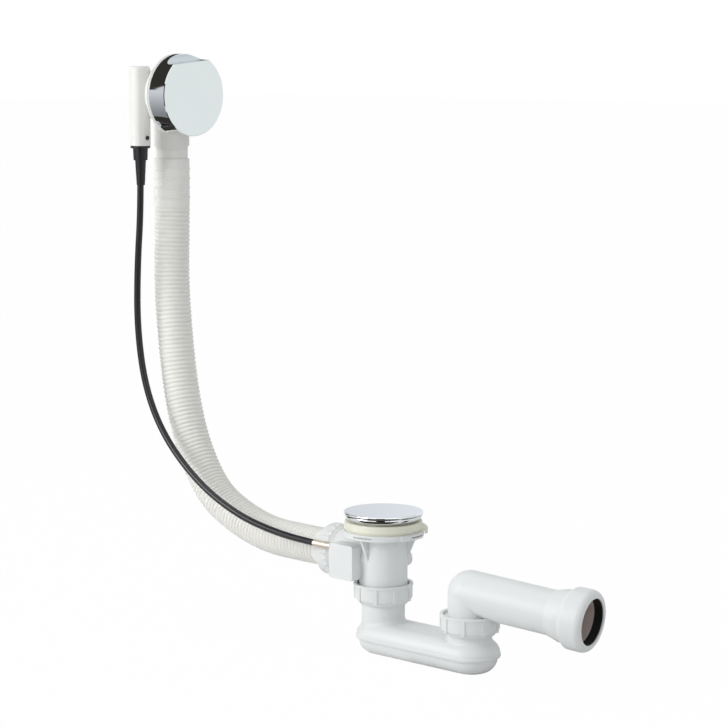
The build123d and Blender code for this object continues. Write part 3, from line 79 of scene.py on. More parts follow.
# %% Camera
camera_turn = radians(42.5)
camera_rise = radians(7.65)
camera_back = Vector((
    sin(camera_turn) * cos(camera_rise), -cos(camera_turn) * cos(camera_rise), sin(camera_rise),
))
camera_data = bpy.data.cameras.new("camera")
camera_data.lens = 121.3
camera_data.sensor_width = 36
camera = bpy.data.objects.new("camera", camera_data)
camera.location = (1.45844, -1.61838, 0.43551)
camera.rotation_mode = "QUATERNION"
camera.rotation_quaternion = camera_back.to_track_quat("Z", "Y")
scene.collection.objects.link(camera)
scene.camera = camera
scene.view_settings.view_transform = "Standard"
print("camera at", [round(v, 3) for v in camera.location])

# %% [markdown]
# ## A recipe for finishes
# Moulded plastic is never one flat colour: it has slow patches a shade apart, a faint surface grain
# and a gloss that varies a little. All three come from noise on object coordinates, so they stay put
# when the piece moves. Mixing them in one helper keeps the finishes alike, and each finish only says
# how strong they are. What is the same all over is set on the shader's own sockets.

# %% Sizes that all finishes share
patch_size = 0.03
wear_per_patch = 4
grain_size = 0.0006
plastic_grain = 0.00002
light_depth = 0.0015
light_reach = (1.0, 0.97, 0.92)
print("patches of", patch_size, "m, grain of", grain_size, "m")


# %% Helper: noise that stays on the piece
def noise(tree, place, scale, detail):
    """Noise at a place on the piece; the result is the socket of its value."""
    node = tree.nodes.new("ShaderNodeTexNoise")
    node.inputs["Scale"].default_value = scale
    node.inputs["Detail"].default_value = detail
    tree.links.new(place, node.inputs["Vector"])
    return node.outputs["Fac"]


# %% Helper: a shader with patches, grain and varied gloss
def finish(name, colour, second_colour, gloss, grain_depth=plastic_grain, metallic=0.0, shine=0.5,
           soft_light=0.0):
    """A material whose colour wanders between two shades and its roughness over the gloss range."""
    material = bpy.data.materials.new(name)
    material.use_nodes = True
    tree = material.node_tree
    shader = tree.nodes["Principled BSDF"]
    place = tree.nodes.new("ShaderNodeTexCoord").outputs["Object"]

    shade = tree.nodes.new("ShaderNodeMix")
    shade.data_type = "RGBA"
    shade.inputs["A"].default_value = (*colour, 1)
    shade.inputs["B"].default_value = (*second_colour, 1)
    tree.links.new(noise(tree, place, 1 / patch_size, 3), shade.inputs["Factor"])
    tree.links.new(shade.outputs["Result"], shader.inputs["Base Color"])

    roughness = tree.nodes.new("ShaderNodeMapRange")
    roughness.inputs["To Min"].default_value = gloss[0]
    roughness.inputs["To Max"].default_value = gloss[1]
    tree.links.new(noise(tree, place, wear_per_patch / patch_size, 5), roughness.inputs["Value"])
    tree.links.new(roughness.outputs["Result"], shader.inputs["Roughness"])

    bump = tree.nodes.new("ShaderNodeBump")
    bump.inputs["Distance"].default_value = grain_depth
    tree.links.new(noise(tree, place, 1 / grain_size, 2), bump.inputs["Height"])
    tree.links.new(bump.outputs["Normal"], shader.inputs["Normal"])

    shader.inputs["Metallic"].default_value = metallic
    shader.inputs["Specular IOR Level"].default_value = shine
    shader.inputs["Subsurface Weight"].default_value = soft_light
    shader.inputs["Subsurface Scale"].default_value = light_depth
    shader.inputs["Subsurface Radius"].default_value = light_reach
    return material


# %% [markdown]
# ## The finishes of this waste
# The trap, the nuts and the waste are one cool white plastic, the overflow head is a warmer white,
# and the bath seal is a see-through cream rubber. Light that wanders a little way under the surface
# keeps these from looking like painted metal.

# %% Plastics and rubbers
cool_white = finish("cool_white_plastic", (0.80, 0.815, 0.81), (0.765, 0.78, 0.775), (0.38, 0.50),
                    soft_light=0.06)
warm_white = finish("warm_white_plastic", (0.82, 0.815, 0.79), (0.785, 0.78, 0.75), (0.34, 0.46),
                    soft_light=0.06)
cream_seal = finish("cream_seal_rubber", (0.80, 0.80, 0.69), (0.76, 0.755, 0.63), (0.38, 0.52),
                    soft_light=0.3)
white_seal = finish("white_seal_rubber", (0.66, 0.685, 0.66), (0.62, 0.645, 0.62), (0.5, 0.62))
grey_plastic = finish("inner_grey_plastic", (0.50, 0.52, 0.53), (0.46, 0.48, 0.49), (0.4, 0.5))
black_plastic = finish("black_plastic", (0.008, 0.008, 0.010), (0.016, 0.016, 0.019), (0.2, 0.3),
                       shine=0.4)
black_rubber = finish("black_rubber", (0.008, 0.008, 0.009), (0.015, 0.015, 0.015), (0.42, 0.6),
                      shine=0.3)
print("plastics and rubbers: 7")

# %% [markdown]
# The metals differ in how far they are polished. The chrome has nearly no roughness, with a trace of
# polishing marks, the brass sleeve is turned and dull, and the steel of the inner shaft is drawn.

# %% Metals, and the finish of each slot
chrome = finish("polished_chrome", (0.86, 0.87, 0.89), (0.84, 0.85, 0.87), (0.03, 0.055),
                metallic=1.0, grain_depth=0.000001)
brass = finish("bare_brass", (0.80, 0.72, 0.63), (0.74, 0.65, 0.55), (0.36, 0.48),
               metallic=1.0, grain_depth=0.000005)
steel = finish("bare_steel", (0.62, 0.62, 0.61), (0.52, 0.52, 0.52), (0.22, 0.38),
               metallic=1.0, grain_depth=0.000006)
finish_of_slot = {
    "plastic": cool_white,
    "warm_plastic": warm_white,
    "hose_plastic": warm_white,
    "cream_rubber": cream_seal,
    "white_rubber": white_seal,
    "black_rubber": black_rubber,
    "black_plastic": black_plastic,
    "chrome": chrome,
    "brass": brass,
    "steel": steel,
    "inner_plastic": grey_plastic,
}
print("finishes:", ", ".join(sorted(m.name for m in finish_of_slot.values())))

# %% [markdown]
# ## Smooth coats for the moulded pieces
# A solid model arrives as loose triangles, and its curved walls show every one of them. The piece
# could be remodelled, but its shape is already right. So each piece gets a coat: a copy whose loose
# corners are merged, shaded smooth except over edges sharper than a limit. The coat then stands for
# the solid piece.

# %% Limits of a coat
sharp_edge = radians(32)
merge_reach = 0.00001
print("sharp edges from", round(sharp_edge, 3), "radians")


# %% Helper: the smooth-shaded object
def hand_over(piece, node):
    """The piece takes the place of a solid node: it rides on the node's body, and the node is hidden.
    """
    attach(piece, body_of[node])
    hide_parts(node)


def finished_piece(name, shape, material):
    """Turns a bmesh into an object, smooth except over its sharp edges."""
    for face in shape.faces:
        face.smooth = True
    for edge in shape.edges:
        edge.smooth = not (edge.is_manifold and edge.calc_face_angle(0) > sharp_edge)
    mesh = bpy.data.meshes.new(name)
    shape.to_mesh(mesh)
    shape.free()
    mesh.materials.append(material)
    piece = bpy.data.objects.new(name, mesh)
    scene.collection.objects.link(piece)
    weights = piece.modifiers.new("weighted_normals", "WEIGHTED_NORMAL")
    weights.keep_sharp = True
    return piece


# %% Helper: a coat over a solid piece
def coat(node):
    """A merged, smooth-shaded copy of a solid piece in the finish of its slot."""
    shape = bmesh.new()
    shape.from_mesh(nodes[node].data)
    bmesh.ops.remove_doubles(shape, verts=shape.verts, dist=merge_reach)
    piece = finished_piece(node + "_coat", shape, finish_of_slot[slot_of[node]])
    hand_over(piece, node)
    return piece


# %% Coats
made_below = {"overflow_hose", "cable_sheath", "plug_cap", "outlet_nut"}
coats = {node: coat(node) for node in sorted(set(nodes) - made_below)}
print("coats:", len(coats))

# %% [markdown]
# ## The rolled rim of the chrome flange
# Under the disc the flange is a shallow bowl, pressed from thin metal with a rolled rim, and its
# round side mirrors the whole dark room in one arc. A plain cylinder would mirror only one line of
# it. So the rim is a turned ring with a round profile, and the coats of the flange and its seal are
# drawn in to hide inside that ring.


# %% Helper: a turned piece
def turned(name, profile, steps_round, material):
    """Spins a profile of (radius, height) round Z into a closed mesh with outward faces."""
    shape = bmesh.new()
    corners = [shape.verts.new((r, 0, z)) for r, z in profile]
    edges = [shape.edges.new(pair) for pair in zip(corners, corners[1:])]
    bmesh.ops.spin(shape, geom=corners + edges, axis=(0, 0, 1), cent=(0, 0, 0), angle=2 * pi,
                   steps=steps_round)
    bmesh.ops.remove_doubles(shape, verts=shape.verts, dist=merge_reach)
    bmesh.ops.recalc_face_normals(shape, faces=shape.faces)
    return finished_piece(name, shape, material)


# %% Helper: draw a round piece in
def shrink_outside(mesh, limit, reach):
    """Draws everything outside a radius in, so that the widest point comes to the given reach."""
    widest = max(vertex.co.to_2d().length for vertex in mesh.vertices)
    for vertex in mesh.vertices:
        radius = vertex.co.to_2d().length
        if radius > limit:
            share = (limit + (radius - limit) * (reach - limit) / (widest - limit)) / radius
            vertex.co.x *= share
            vertex.co.y *= share


# %% Rolled rim
rim_points = [
    (0.0336, 0.0058), (0.0341, 0.0060), (0.0346, 0.0058), (0.0348, 0.0053), (0.0348, 0.0046),
    (0.0346, 0.0038), (0.0342, 0.0030), (0.0336, 0.0023), (0.0329, 0.0017), (0.0320, 0.0011),
    (0.0310, 0.0006), (0.0300, 0.0003), (0.0292, 0.0002), (0.0288, 0.0006), (0.0300, 0.0022),
    (0.0314, 0.0031), (0.0336, 0.0058),
]
rim_steps = 160
hidden_from, hidden_reach = 0.0285, 0.0295
rolled_rim = turned("flange_rolled_rim", rim_points, rim_steps, chrome)
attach(rolled_rim, body_of["waste_flange"])
for node in ("waste_flange", "flange_seal"):
    shrink_outside(coats[node].data, hidden_from, hidden_reach)
print("rolled rim points:", len(rim_points))

# %% [markdown]
# ## The trap's weld
# The trap is moulded in two halves that are welded at their widest line, where a rim stands out over
# the lower half. A rim could be cut from a disc, but its outline is a slot with round ends, so a
# helper lays one small profile all along that outline. The lower half's coat is then drawn in a
# little under the rim.

# %% Slot outline and profile of the rim
trap_start = Vector((0.0015, 0, 0))
trap_end = Vector((0.1045, 0, 0))
rim_profile = [
    (0.0240, -0.1046), (0.0254, -0.1046), (0.0259, -0.1050), (0.0260, -0.1056), (0.0260, -0.1068),
    (0.0258, -0.1075), (0.0252, -0.1080), (0.0226, -0.1082), (0.0226, -0.1068),
]
print("trap outline between", round(trap_start.x, 4), "and", round(trap_end.x, 4))


# %% Helper: one profile laid along a slot
def slot_band(name, profile, steps_round, material):
    """A closed band whose (reach, height) profile runs round the slot of the trap."""
    shape = bmesh.new()
    rings = []
    for centre, first_turn in ((trap_end, -90), (trap_start, 90)):
        for step in range(steps_round + 1):
            turn = radians(first_turn + 180 * step / steps_round)
            rings.append([
                shape.verts.new((centre.x + reach * cos(turn), reach * sin(turn), height))
                for reach, height in profile
            ])
    for ring, next_ring in zip(rings, rings[1:] + rings[:1]):
        for i in range(len(profile)):
            j = (i + 1) % len(profile)
            shape.faces.new((ring[i], next_ring[i], next_ring[j], ring[j]))
    bmesh.ops.recalc_face_normals(shape, faces=shape.faces)
    return finished_piece(name, shape, material)


# %% Helper: draw a slot-shaped shell in
full_step_from = 0.020


def draw_in(mesh, step):
    """Moves a shell's wall towards the middle line of the slot, less and less near that line."""
    for vertex in mesh.vertices:
        along = min(max(vertex.co.x, trap_start.x), trap_end.x)
        outwards = vertex.co - Vector((along, 0, vertex.co.z))
        if outwards.length > 0:
            share = min(1.0, outwards.length / full_step_from)
            vertex.co -= outwards.normalized() * step * share


# %% Weld rim and lower half
end_steps = 48
step_under_rim = 0.0014
weld_rim = slot_band("trap_weld_rim", rim_profile, end_steps, cool_white)
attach(weld_rim, body_of["trap_upper_shell"])
draw_in(coats["trap_lower_shell"].data, step_under_rim)
print("rim faces:", len(weld_rim.data.polygons))

# %% [markdown]
# ## The chamber behind the knob
# From the camera the chamber shows as a pale crescent left of the knob. In the photograph that
# crescent is narrow, so the chamber's wall leans in towards its rear, while its front edge stays
# where it is. Where the wall meets the cable housing or the spigot, a corner slides along that tube
# and keeps its distance from it.

# %% Sizes of the leaning wall
knob_axis_z = 0.3783
wall_front_x, wall_rear_x = -0.2690, -0.2840
wall_inside, wall_outside = 0.0303, 0.0331
wall_lean = 0.005
rear_share = 1.01
housing_tube = (Vector((-0.2920, -0.0250, 0)), 0.0125)
spigot_tube = (Vector((-0.2910, 0.0150, 0)), 0.0175)
print("wall leans in by", wall_lean)


# %% Helper: keep a corner on its tube
def slide_on_tube(before, after):
    """Brings a moved corner back to its old distance from the upright tube that it lies on."""
    for middle, reach in (housing_tube, spigot_tube):
        kept = (before - middle).to_2d().length
        if kept < reach:
            around = (after - middle).to_2d().normalized() * kept
            return Vector((middle.x + around.x, middle.y + around.y, after.z))
    return after


# %% Leaning chamber wall
moved = 0
for vertex in coats["overflow_body"].data.vertices:
    off_axis = Vector((0, vertex.co.y, vertex.co.z - knob_axis_z))
    share = (wall_front_x - vertex.co.x) / (wall_front_x - wall_rear_x)
    if wall_inside < off_axis.length < wall_outside and 0 < share < rear_share:
        leaning = vertex.co - off_axis.normalized() * wall_lean * share
        vertex.co = slide_on_tube(vertex.co.copy(), leaning)
        moved += 1
print("chamber corners moved:", moved)

# %% [markdown]
# ## The inside of the outlet pipe
# The mouth shows a dim brownish bore, because little light gets into the pipe. The bore belongs to the
# same moulding as the bright outside, so the faces that look inwards get a second finish: a darker
# brownish colour that is painted shade.

# %% Way of the pipe
droop, swivel = radians(5.2), radians(10)
pipe_way = Vector((cos(droop) * cos(swivel), cos(droop) * sin(swivel), -sin(droop)))
pipe_start = Vector((0.103, 0, -0.0512))
bore_from, bore_radius = 0.02, 0.0204
elbow_from, elbow_radius = -0.022, 0.0174
facing_slack = 0.0001
print("pipe runs along", [round(v, 3) for v in pipe_way])

# %% Bore in painted shade
# the bore's darker brownish colour is painted shade, not the plastic's own colour
painted_shade_bore = finish("pipe_bore_painted_shade", (0.62, 0.53, 0.50), (0.56, 0.475, 0.445), (0.5, 0.65),
                     shine=0.2)
bend_mesh = coats["outlet_bend"].data
bend_mesh.materials.append(painted_shade_bore)
for face in bend_mesh.polygons:
    along = (face.center - pipe_start).dot(pipe_way)
    off_axis = face.center - pipe_start - pipe_way * along
    faces_axis = face.normal.dot(off_axis) <= facing_slack
    in_bore = along > bore_from and off_axis.length < bore_radius and faces_axis
    in_elbow = along > elbow_from and off_axis.length < elbow_radius and face.normal.dot(pipe_way) > 0
    if in_bore or in_elbow:
        face.material_index = 1
print("bore faces:", sum(face.material_index for face in bend_mesh.polygons))

# %% [markdown]
# ## The nut round the outlet's mouth
# The camera looks into the mouth, so its nut shows a slanted back edge, a soft front corner and a
# raised lip round the black seal. These are all rings about one axis, so the nut is a turned profile
# laid along the pipe. The profile counts its height from the bend, along the pipe.


# %% Helper: lay a turned piece along a way
def lay_along(piece, start, way):
    """Turns a piece made round Z so that its axis runs from a point along a way."""
    turn = Vector(way).to_track_quat("Z", "Y").to_matrix().to_4x4()
    piece.data.transform(Matrix.Translation(start) @ turn)


# %% Outlet nut
mouth_profile = [
    (0.0235, 0.0986), (0.0240, 0.0986), (0.0244, 0.0991), (0.0269, 0.1024), (0.0273, 0.1032),
    (0.0275, 0.1044), (0.0275, 0.1158), (0.0272, 0.1176), (0.0265, 0.1191), (0.0255, 0.1203),
    (0.0246, 0.1209), (0.0238, 0.1210), (0.0228, 0.1208), (0.0224, 0.1210), (0.0221, 0.1215),
    (0.0211, 0.1215), (0.0207, 0.1212), (0.0207, 0.1200), (0.0235, 0.1200), (0.0235, 0.0986),
]
nut_steps = 128
outlet_nut = turned("outlet_nut_turned", mouth_profile, nut_steps, cool_white)
lay_along(outlet_nut, pipe_start, pipe_way)
hand_over(outlet_nut, "outlet_nut")
print("outlet nut faces:", len(outlet_nut.data.polygons))

# %% [markdown]
# ## The cable
# The pull cable is a free length of stiff black tube that leaves the gland under the housing, hangs
# down beside the hose and runs into a brass sleeve on the waste. A smooth curve through its control
# points bends the way such a tube does, and a round bevel gives it its thickness. The last stretch
# lies inside the sleeve, so it is a little thinner there.


# %% Helper: a smooth line with a round section
def smooth_line(name, points, radius):
    """A curve object whose NURBS spline is drawn by the points."""
    curve = bpy.data.curves.new(name, "CURVE")
    curve.dimensions = "3D"
    curve.resolution_u = 12
    curve.bevel_depth = radius
    curve.bevel_resolution = 8
    curve.use_fill_caps = True
    spline = curve.splines.new("NURBS")
    spline.points.add(len(points) - 1)
    for control, point in zip(spline.points, points):
        control.co = (*point, 1)
    spline.order_u = 3
    spline.use_endpoint_u = True
    line = bpy.data.objects.new(name, curve)
    scene.collection.objects.link(line)
    return line


# %% Route of the cable
cable_radius = 0.0032
share_in_sleeve = 0.93
cable_route = [
    (-0.2920, -0.0250, 0.3349), (-0.2920, -0.0250, 0.2750), (-0.2980, -0.0253, 0.2130),
    (-0.2988, -0.0257, 0.1520), (-0.2877, -0.0260, 0.0943), (-0.2602, -0.0264, 0.0486),
    (-0.2130, -0.0268, 0.0102), (-0.1620, -0.0273, -0.0122), (-0.1150, -0.0277, -0.0217),
    (-0.0700, -0.0280, -0.0253), (-0.0376, -0.0280, -0.0253),
]
print("cable points:", len(cable_route))

# %% Cable
cable = smooth_line("cable_tube", cable_route, cable_radius)
for control in cable.data.splines[0].points[-2:]:
    control.radius = share_in_sleeve
cable.data.materials.append(black_plastic)
hand_over(cable, "cable_sheath")
print("cable thickness:", 2 * cable_radius)

# %% [markdown]
# ## The hose
# The overflow hose is blown from soft plastic: a smooth cuff with four raised rings at the top,
# about a hundred round corrugations, and a short cuff in the nut. Modelling each ring by hand would
# take long and would not follow the bend, so geometry nodes do it. The route is resampled in small
# steps, a repeating wave sets the radius at each step, and a circle is swept along it.

# %% Route of the hose
hose_route = [
    (-0.2910, 0.0150, 0.3250), (-0.2910, 0.0150, 0.2620), (-0.2905, 0.0122, 0.2000),
    (-0.2826, 0.0096, 0.1400), (-0.2715, 0.0073, 0.0840), (-0.2545, 0.0056, 0.0373),
    (-0.2265, 0.0040, -0.0026), (-0.1930, 0.0027, -0.0210), (-0.1480, 0.0010, -0.0338),
    (-0.1060, 0.0, -0.0350), (-0.0610, 0.0, -0.0350),
]
hose_line = smooth_line("hose_line", hose_route, 0)
hose_line.data.resolution_u = 40
line_now = hose_line.evaluated_get(bpy.context.evaluated_depsgraph_get())
hose_path = [vertex.co.copy() for vertex in bpy.data.meshes.new_from_object(line_now).vertices]
hose_length = sum((b - a).length for a, b in zip(hose_path, hose_path[1:]))
print("hose length:", round(hose_length, 4), "from", len(hose_path), "points")


# %% Helper: formulas in a node tree
def formula(tree, operation, first, second=0.0, third=0.0):
    """A math node fed by plain numbers or by other nodes; the result is its output socket."""
    node = tree.nodes.new("ShaderNodeMath")
    node.operation = operation
    for source, socket in zip((first, second, third), node.inputs):
        if isinstance(source, (int, float)):
            socket.default_value = source
        else:
            tree.links.new(source, socket)
    return node.outputs[0]


# %% Helper: a node tree with named inputs
def new_tree(name, sizes):
    """An empty tree with an input for each size and one for the material."""
    tree = bpy.data.node_groups.new(name, "GeometryNodeTree")
    new_socket = tree.interface.new_socket
    new_socket("Geometry", in_out="INPUT", socket_type="NodeSocketGeometry")
    for size, value in sizes.items():
        kind = "NodeSocketInt" if isinstance(value, int) else "NodeSocketFloat"
        new_socket(size, in_out="INPUT", socket_type=kind).default_value = value
    new_socket("Material", in_out="INPUT", socket_type="NodeSocketMaterial")
    new_socket("Geometry", in_out="OUTPUT", socket_type="NodeSocketGeometry")
    return tree, tree.nodes.new("NodeGroupInput").outputs


def close_tree(tree, geometry, material):
    """Ends a tree: instances become real, get the material and leave by the output."""
    real = tree.nodes.new("GeometryNodeRealizeInstances")
    tree.links.new(geometry, real.inputs["Geometry"])
    paint = tree.nodes.new("GeometryNodeSetMaterial")
    tree.links.new(real.outputs["Geometry"], paint.inputs["Geometry"])
    tree.links.new(material, paint.inputs["Material"])
    output = tree.nodes.new("NodeGroupOutput")
    tree.links.new(paint.outputs["Geometry"], output.inputs["Geometry"])
    print(tree.name, "nodes:", len(tree.nodes))


# %% Helper: run a tree
def grow(name, base, tree, sizes, material):
    """Runs a tree on the base object and returns its result as a plain mesh object."""
    modifier = base.modifiers.new("grow", "NODES")
    modifier.node_group = tree
    given_values = {**sizes, "Material": material}
    for item in tree.interface.items_tree:
        if item.in_out == "INPUT" and item.name in given_values:
            modifier[item.identifier] = given_values[item.name]
    grown = base.evaluated_get(bpy.context.evaluated_depsgraph_get())
    mesh = bpy.data.meshes.new_from_object(grown)
    mesh.name = name
    base.modifiers.remove(modifier)
    bpy.data.objects.remove(base)
    piece = bpy.data.objects.new(name, mesh)
    scene.collection.objects.link(piece)
    return piece


# %% [markdown]
# The tree gets every size of the hose as a named input, so that one ring more or a deeper groove is
# one number. Its first nodes cut the route into equal steps and ask how far along each step lies.

# %% Sizes and steps of the hose
hose_sizes = {
    "Step": 0.0006,
    "Crest": 0.0174,
    "Valley": 0.0163,
    "Pitch": 0.0042,
    "Top cuff": 0.0562,
    "Lip radius": 0.0156,
    "Lip length": 0.0085,
    "Low cuff": 0.014,
    "Cuff radius": 0.0171,
    "Ring start": 0.0187,
    "Ring pitch": 0.0091,
    "Ring count": 4,
    "Ring height": 0.0008,
    "Ring width": 0.0018,
    "Sides": 72,
}
hose_tree, given = new_tree("corrugated_hose", hose_sizes)
to_curve = hose_tree.nodes.new("GeometryNodeMeshToCurve")
hose_tree.links.new(given["Geometry"], to_curve.inputs["Mesh"])
steps = hose_tree.nodes.new("GeometryNodeResampleCurve")
steps.mode = "LENGTH"
hose_tree.links.new(to_curve.outputs["Curve"], steps.inputs["Curve"])
hose_tree.links.new(given["Step"], steps.inputs["Length"])
along = hose_tree.nodes.new("GeometryNodeSplineParameter").outputs["Length"]
whole = hose_tree.nodes.new("GeometryNodeSplineLength").outputs["Length"]
print("hose sizes:", len(hose_sizes))


# %% Helper: short words for the hose's formulas
def hose_formula(operation, *values):
    """A formula in the hose's tree."""
    return formula(hose_tree, operation, *values)


# %% [markdown]
# The corrugations are a cosine along the hose. A blown hose has flat crests and narrow valleys, so
# the cosine is raised to a power below one, which pushes it that way.

# %% Corrugations
crest_flatness = 0.6
past_cuff = hose_formula("SUBTRACT", along, given["Top cuff"])
turns = hose_formula("DIVIDE", past_cuff, given["Pitch"])
wave = hose_formula("COSINE", hose_formula("MULTIPLY", turns, 2 * pi))
hump = hose_formula("POWER", hose_formula("MULTIPLY_ADD", wave, -0.5, 0.5), crest_flatness)
depth = hose_formula("SUBTRACT", given["Crest"], given["Valley"])
bellows = hose_formula("MULTIPLY_ADD", hump, depth, given["Valley"])
print("corrugations:", round((hose_length - hose_sizes["Top cuff"]) / hose_sizes["Pitch"]))

# %% [markdown]
# The upper cuff carries four beads. Each step looks for its nearest bead, and a half circle over the
# distance to it gives the bead its round top. A narrower lip at the very end slips over the spigot.

# %% Beads and lip of the cuffs
past_ring = hose_formula("SUBTRACT", along, given["Ring start"])
ring_turn = hose_formula("ROUND", hose_formula("DIVIDE", past_ring, given["Ring pitch"]))
last_ring = hose_formula("SUBTRACT", given["Ring count"], 1.0)
nearest = hose_formula("MINIMUM", hose_formula("MAXIMUM", ring_turn, 0.0), last_ring)
ring_place = hose_formula("MULTIPLY_ADD", nearest, given["Ring pitch"], given["Ring start"])
ring_distance = hose_formula("ABSOLUTE", hose_formula("SUBTRACT", along, ring_place))
half_width = hose_formula("MULTIPLY", given["Ring width"], 0.5)
off_ring = hose_formula("DIVIDE", ring_distance, half_width)
under_root = hose_formula("SUBTRACT", 1.0, hose_formula("MULTIPLY", off_ring, off_ring))
bead = hose_formula("SQRT", hose_formula("MAXIMUM", under_root, 0.0))
on_lip = hose_formula("LESS_THAN", along, given["Lip length"])
lip_drop = hose_formula("SUBTRACT", given["Lip radius"], given["Cuff radius"])
plain_cuff = hose_formula("MULTIPLY_ADD", on_lip, lip_drop, given["Cuff radius"])
cuff = hose_formula("MULTIPLY_ADD", bead, given["Ring height"], plain_cuff)
print("beads:", hose_sizes["Ring count"])

# %% Choose cuff or corrugation
on_top_cuff = hose_formula("LESS_THAN", along, given["Top cuff"])
low_cuff_start = hose_formula("SUBTRACT", whole, given["Low cuff"])
on_low_cuff = hose_formula("GREATER_THAN", along, low_cuff_start)
on_cuff = hose_formula("MAXIMUM", on_top_cuff, on_low_cuff)
radius_here = hose_tree.nodes.new("ShaderNodeMix")
radius_here.data_type = "FLOAT"
hose_tree.links.new(on_cuff, radius_here.inputs["Factor"])
hose_tree.links.new(bellows, radius_here.inputs["A"])
hose_tree.links.new(cuff, radius_here.inputs["B"])
print("radius chosen by", radius_here.name)

# %% [markdown]
# The hose's grooves are painted darker, as painted shade. Before the sweep the tree stores how deep in
# a groove each step lies, so that the hose's own material can read it.

# %% Groove depth and sweep
groove = hose_tree.nodes.new("GeometryNodeStoreNamedAttribute")
groove.data_type = "FLOAT"
groove.domain = "POINT"
groove.inputs["Name"].default_value = "groove"
hose_tree.links.new(steps.outputs["Curve"], groove.inputs["Geometry"])
off_cuff = hose_formula("SUBTRACT", 1.0, on_cuff)
in_groove = hose_formula("MULTIPLY", hose_formula("SUBTRACT", 1.0, hump), off_cuff)
hose_tree.links.new(in_groove, groove.inputs["Value"])
section = hose_tree.nodes.new("GeometryNodeCurvePrimitiveCircle")
section.inputs["Radius"].default_value = 1.0
hose_tree.links.new(given["Sides"], section.inputs["Resolution"])
sweep = hose_tree.nodes.new("GeometryNodeCurveToMesh")
hose_tree.links.new(groove.outputs["Geometry"], sweep.inputs["Curve"])
hose_tree.links.new(section.outputs["Curve"], sweep.inputs["Profile Curve"])
hose_tree.links.new(radius_here.outputs["Result"], sweep.inputs["Scale"])
close_tree(hose_tree, sweep.outputs["Mesh"], given["Material"])

# %% Hose material
hose_white = finish("hose_warm_white", (0.86, 0.85, 0.81), (0.83, 0.82, 0.78), (0.36, 0.5),
                    soft_light=0.5)
# painted shade: the deeper a step lies in a groove, the darker its colour
painted_groove_shade_colour = (0.80, 0.785, 0.735, 1)
hose_look = hose_white.node_tree
hose_shader = hose_look.nodes["Principled BSDF"]
hose_colour = hose_shader.inputs["Base Color"].links[0].from_socket
groove_depth = hose_look.nodes.new("ShaderNodeAttribute")
groove_depth.attribute_name = "groove"
groove_shade_mix = hose_look.nodes.new("ShaderNodeMix")
groove_shade_mix.data_type = "RGBA"
groove_shade_mix.inputs["B"].default_value = painted_groove_shade_colour
hose_look.links.new(groove_depth.outputs["Fac"], groove_shade_mix.inputs["Factor"])
hose_look.links.new(hose_colour, groove_shade_mix.inputs["A"])
hose_look.links.new(groove_shade_mix.outputs["Result"], hose_shader.inputs["Base Color"])
print("hose material:", hose_white.name)

# %% [markdown]
# The sweep is an open skin. A solidify modifier gives it the thickness of the wall and closes both
# ends, and the result is kept as a plain mesh.

# %% Grow the hose and give it a wall
line_mesh = bpy.data.meshes.new("hose_path")
line_mesh.from_pydata([tuple(p) for p in hose_path],
                      [(i, i + 1) for i in range(len(hose_path) - 1)], [])
hose_base = bpy.data.objects.new("hose_base", line_mesh)
scene.collection.objects.link(hose_base)
bpy.data.objects.remove(hose_line)
hose = grow("overflow_hose_wall", hose_base, hose_tree, hose_sizes, hose_white)
hose_wall = 0.0012
thick = hose.modifiers.new("wall", "SOLIDIFY")
thick.thickness = hose_wall
thick.offset = -1
hose_now = hose.evaluated_get(bpy.context.evaluated_depsgraph_get())
hose_mesh = bpy.data.meshes.new_from_object(hose_now)
hose.modifiers.clear()
hose.data = hose_mesh
hose_mesh.shade_smooth()
hand_over(hose, "overflow_hose")
print("hose faces:", len(hose_mesh.polygons))

# %% [markdown]
# ## Ribs on the hose nut
# The nut that holds the hose has fine ribs along it for the fingers. One rib repeated round an axis
# is what instances are for: points on a circle, and a round bar on each. A turned collar closes the
# gap between the nut and the waste.

# %% The rib tree
rib_sizes = {"Count": 26, "Reach": 0.0238, "Length": 0.0062, "Thickness": 0.00065, "Sides": 12}
rib_tree, rib_given = new_tree("nut_ribs", rib_sizes)
ring_points = rib_tree.nodes.new("GeometryNodeMeshCircle")
rib_tree.links.new(rib_given["Count"], ring_points.inputs["Vertices"])
rib_tree.links.new(rib_given["Reach"], ring_points.inputs["Radius"])
bar = rib_tree.nodes.new("GeometryNodeMeshCylinder")
rib_tree.links.new(rib_given["Sides"], bar.inputs["Vertices"])
rib_tree.links.new(rib_given["Thickness"], bar.inputs["Radius"])
rib_tree.links.new(rib_given["Length"], bar.inputs["Depth"])
place_ribs = rib_tree.nodes.new("GeometryNodeInstanceOnPoints")
rib_tree.links.new(ring_points.outputs["Mesh"], place_ribs.inputs["Points"])
rib_tree.links.new(bar.outputs["Mesh"], place_ribs.inputs["Instance"])
close_tree(rib_tree, place_ribs.outputs["Instances"], rib_given["Material"])

# %% Ribs and collar
inlet_z = -0.035
rib_middle_x = -0.0535
to_hose = (-1, 0, 0)
collar_profile = [
    (0.0215, 0.0493), (0.0235, 0.0493), (0.0236, 0.0490), (0.0234, 0.0484), (0.0228, 0.0474),
    (0.0222, 0.0462), (0.02205, 0.0462), (0.02205, 0.0479), (0.0215, 0.0481), (0.0215, 0.0493),
]
collar_steps = 96
rib_base = bpy.data.objects.new("rib_base", bpy.data.meshes.new("rib_base"))
scene.collection.objects.link(rib_base)
ribs = grow("hose_nut_ribs", rib_base, rib_tree, rib_sizes, cool_white)
lay_along(ribs, Vector((rib_middle_x, 0, inlet_z)), to_hose)
ribs.data.shade_smooth()
collar = turned("inlet_shoulder_ring", collar_profile, collar_steps, cool_white)
lay_along(collar, Vector((0, 0, inlet_z)), to_hose)
for piece in (ribs, collar):
    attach(piece, body_of["hose_nut"])
print("rib faces:", len(ribs.data.polygons))

# %% [markdown]
# ## The plug's chrome disc
# The disc is a shallow dome with a rolled edge, so thin that its whole look is one soft reflection
# and a bright line on the rim. A turned profile with many steps round it keeps that reflection clean.

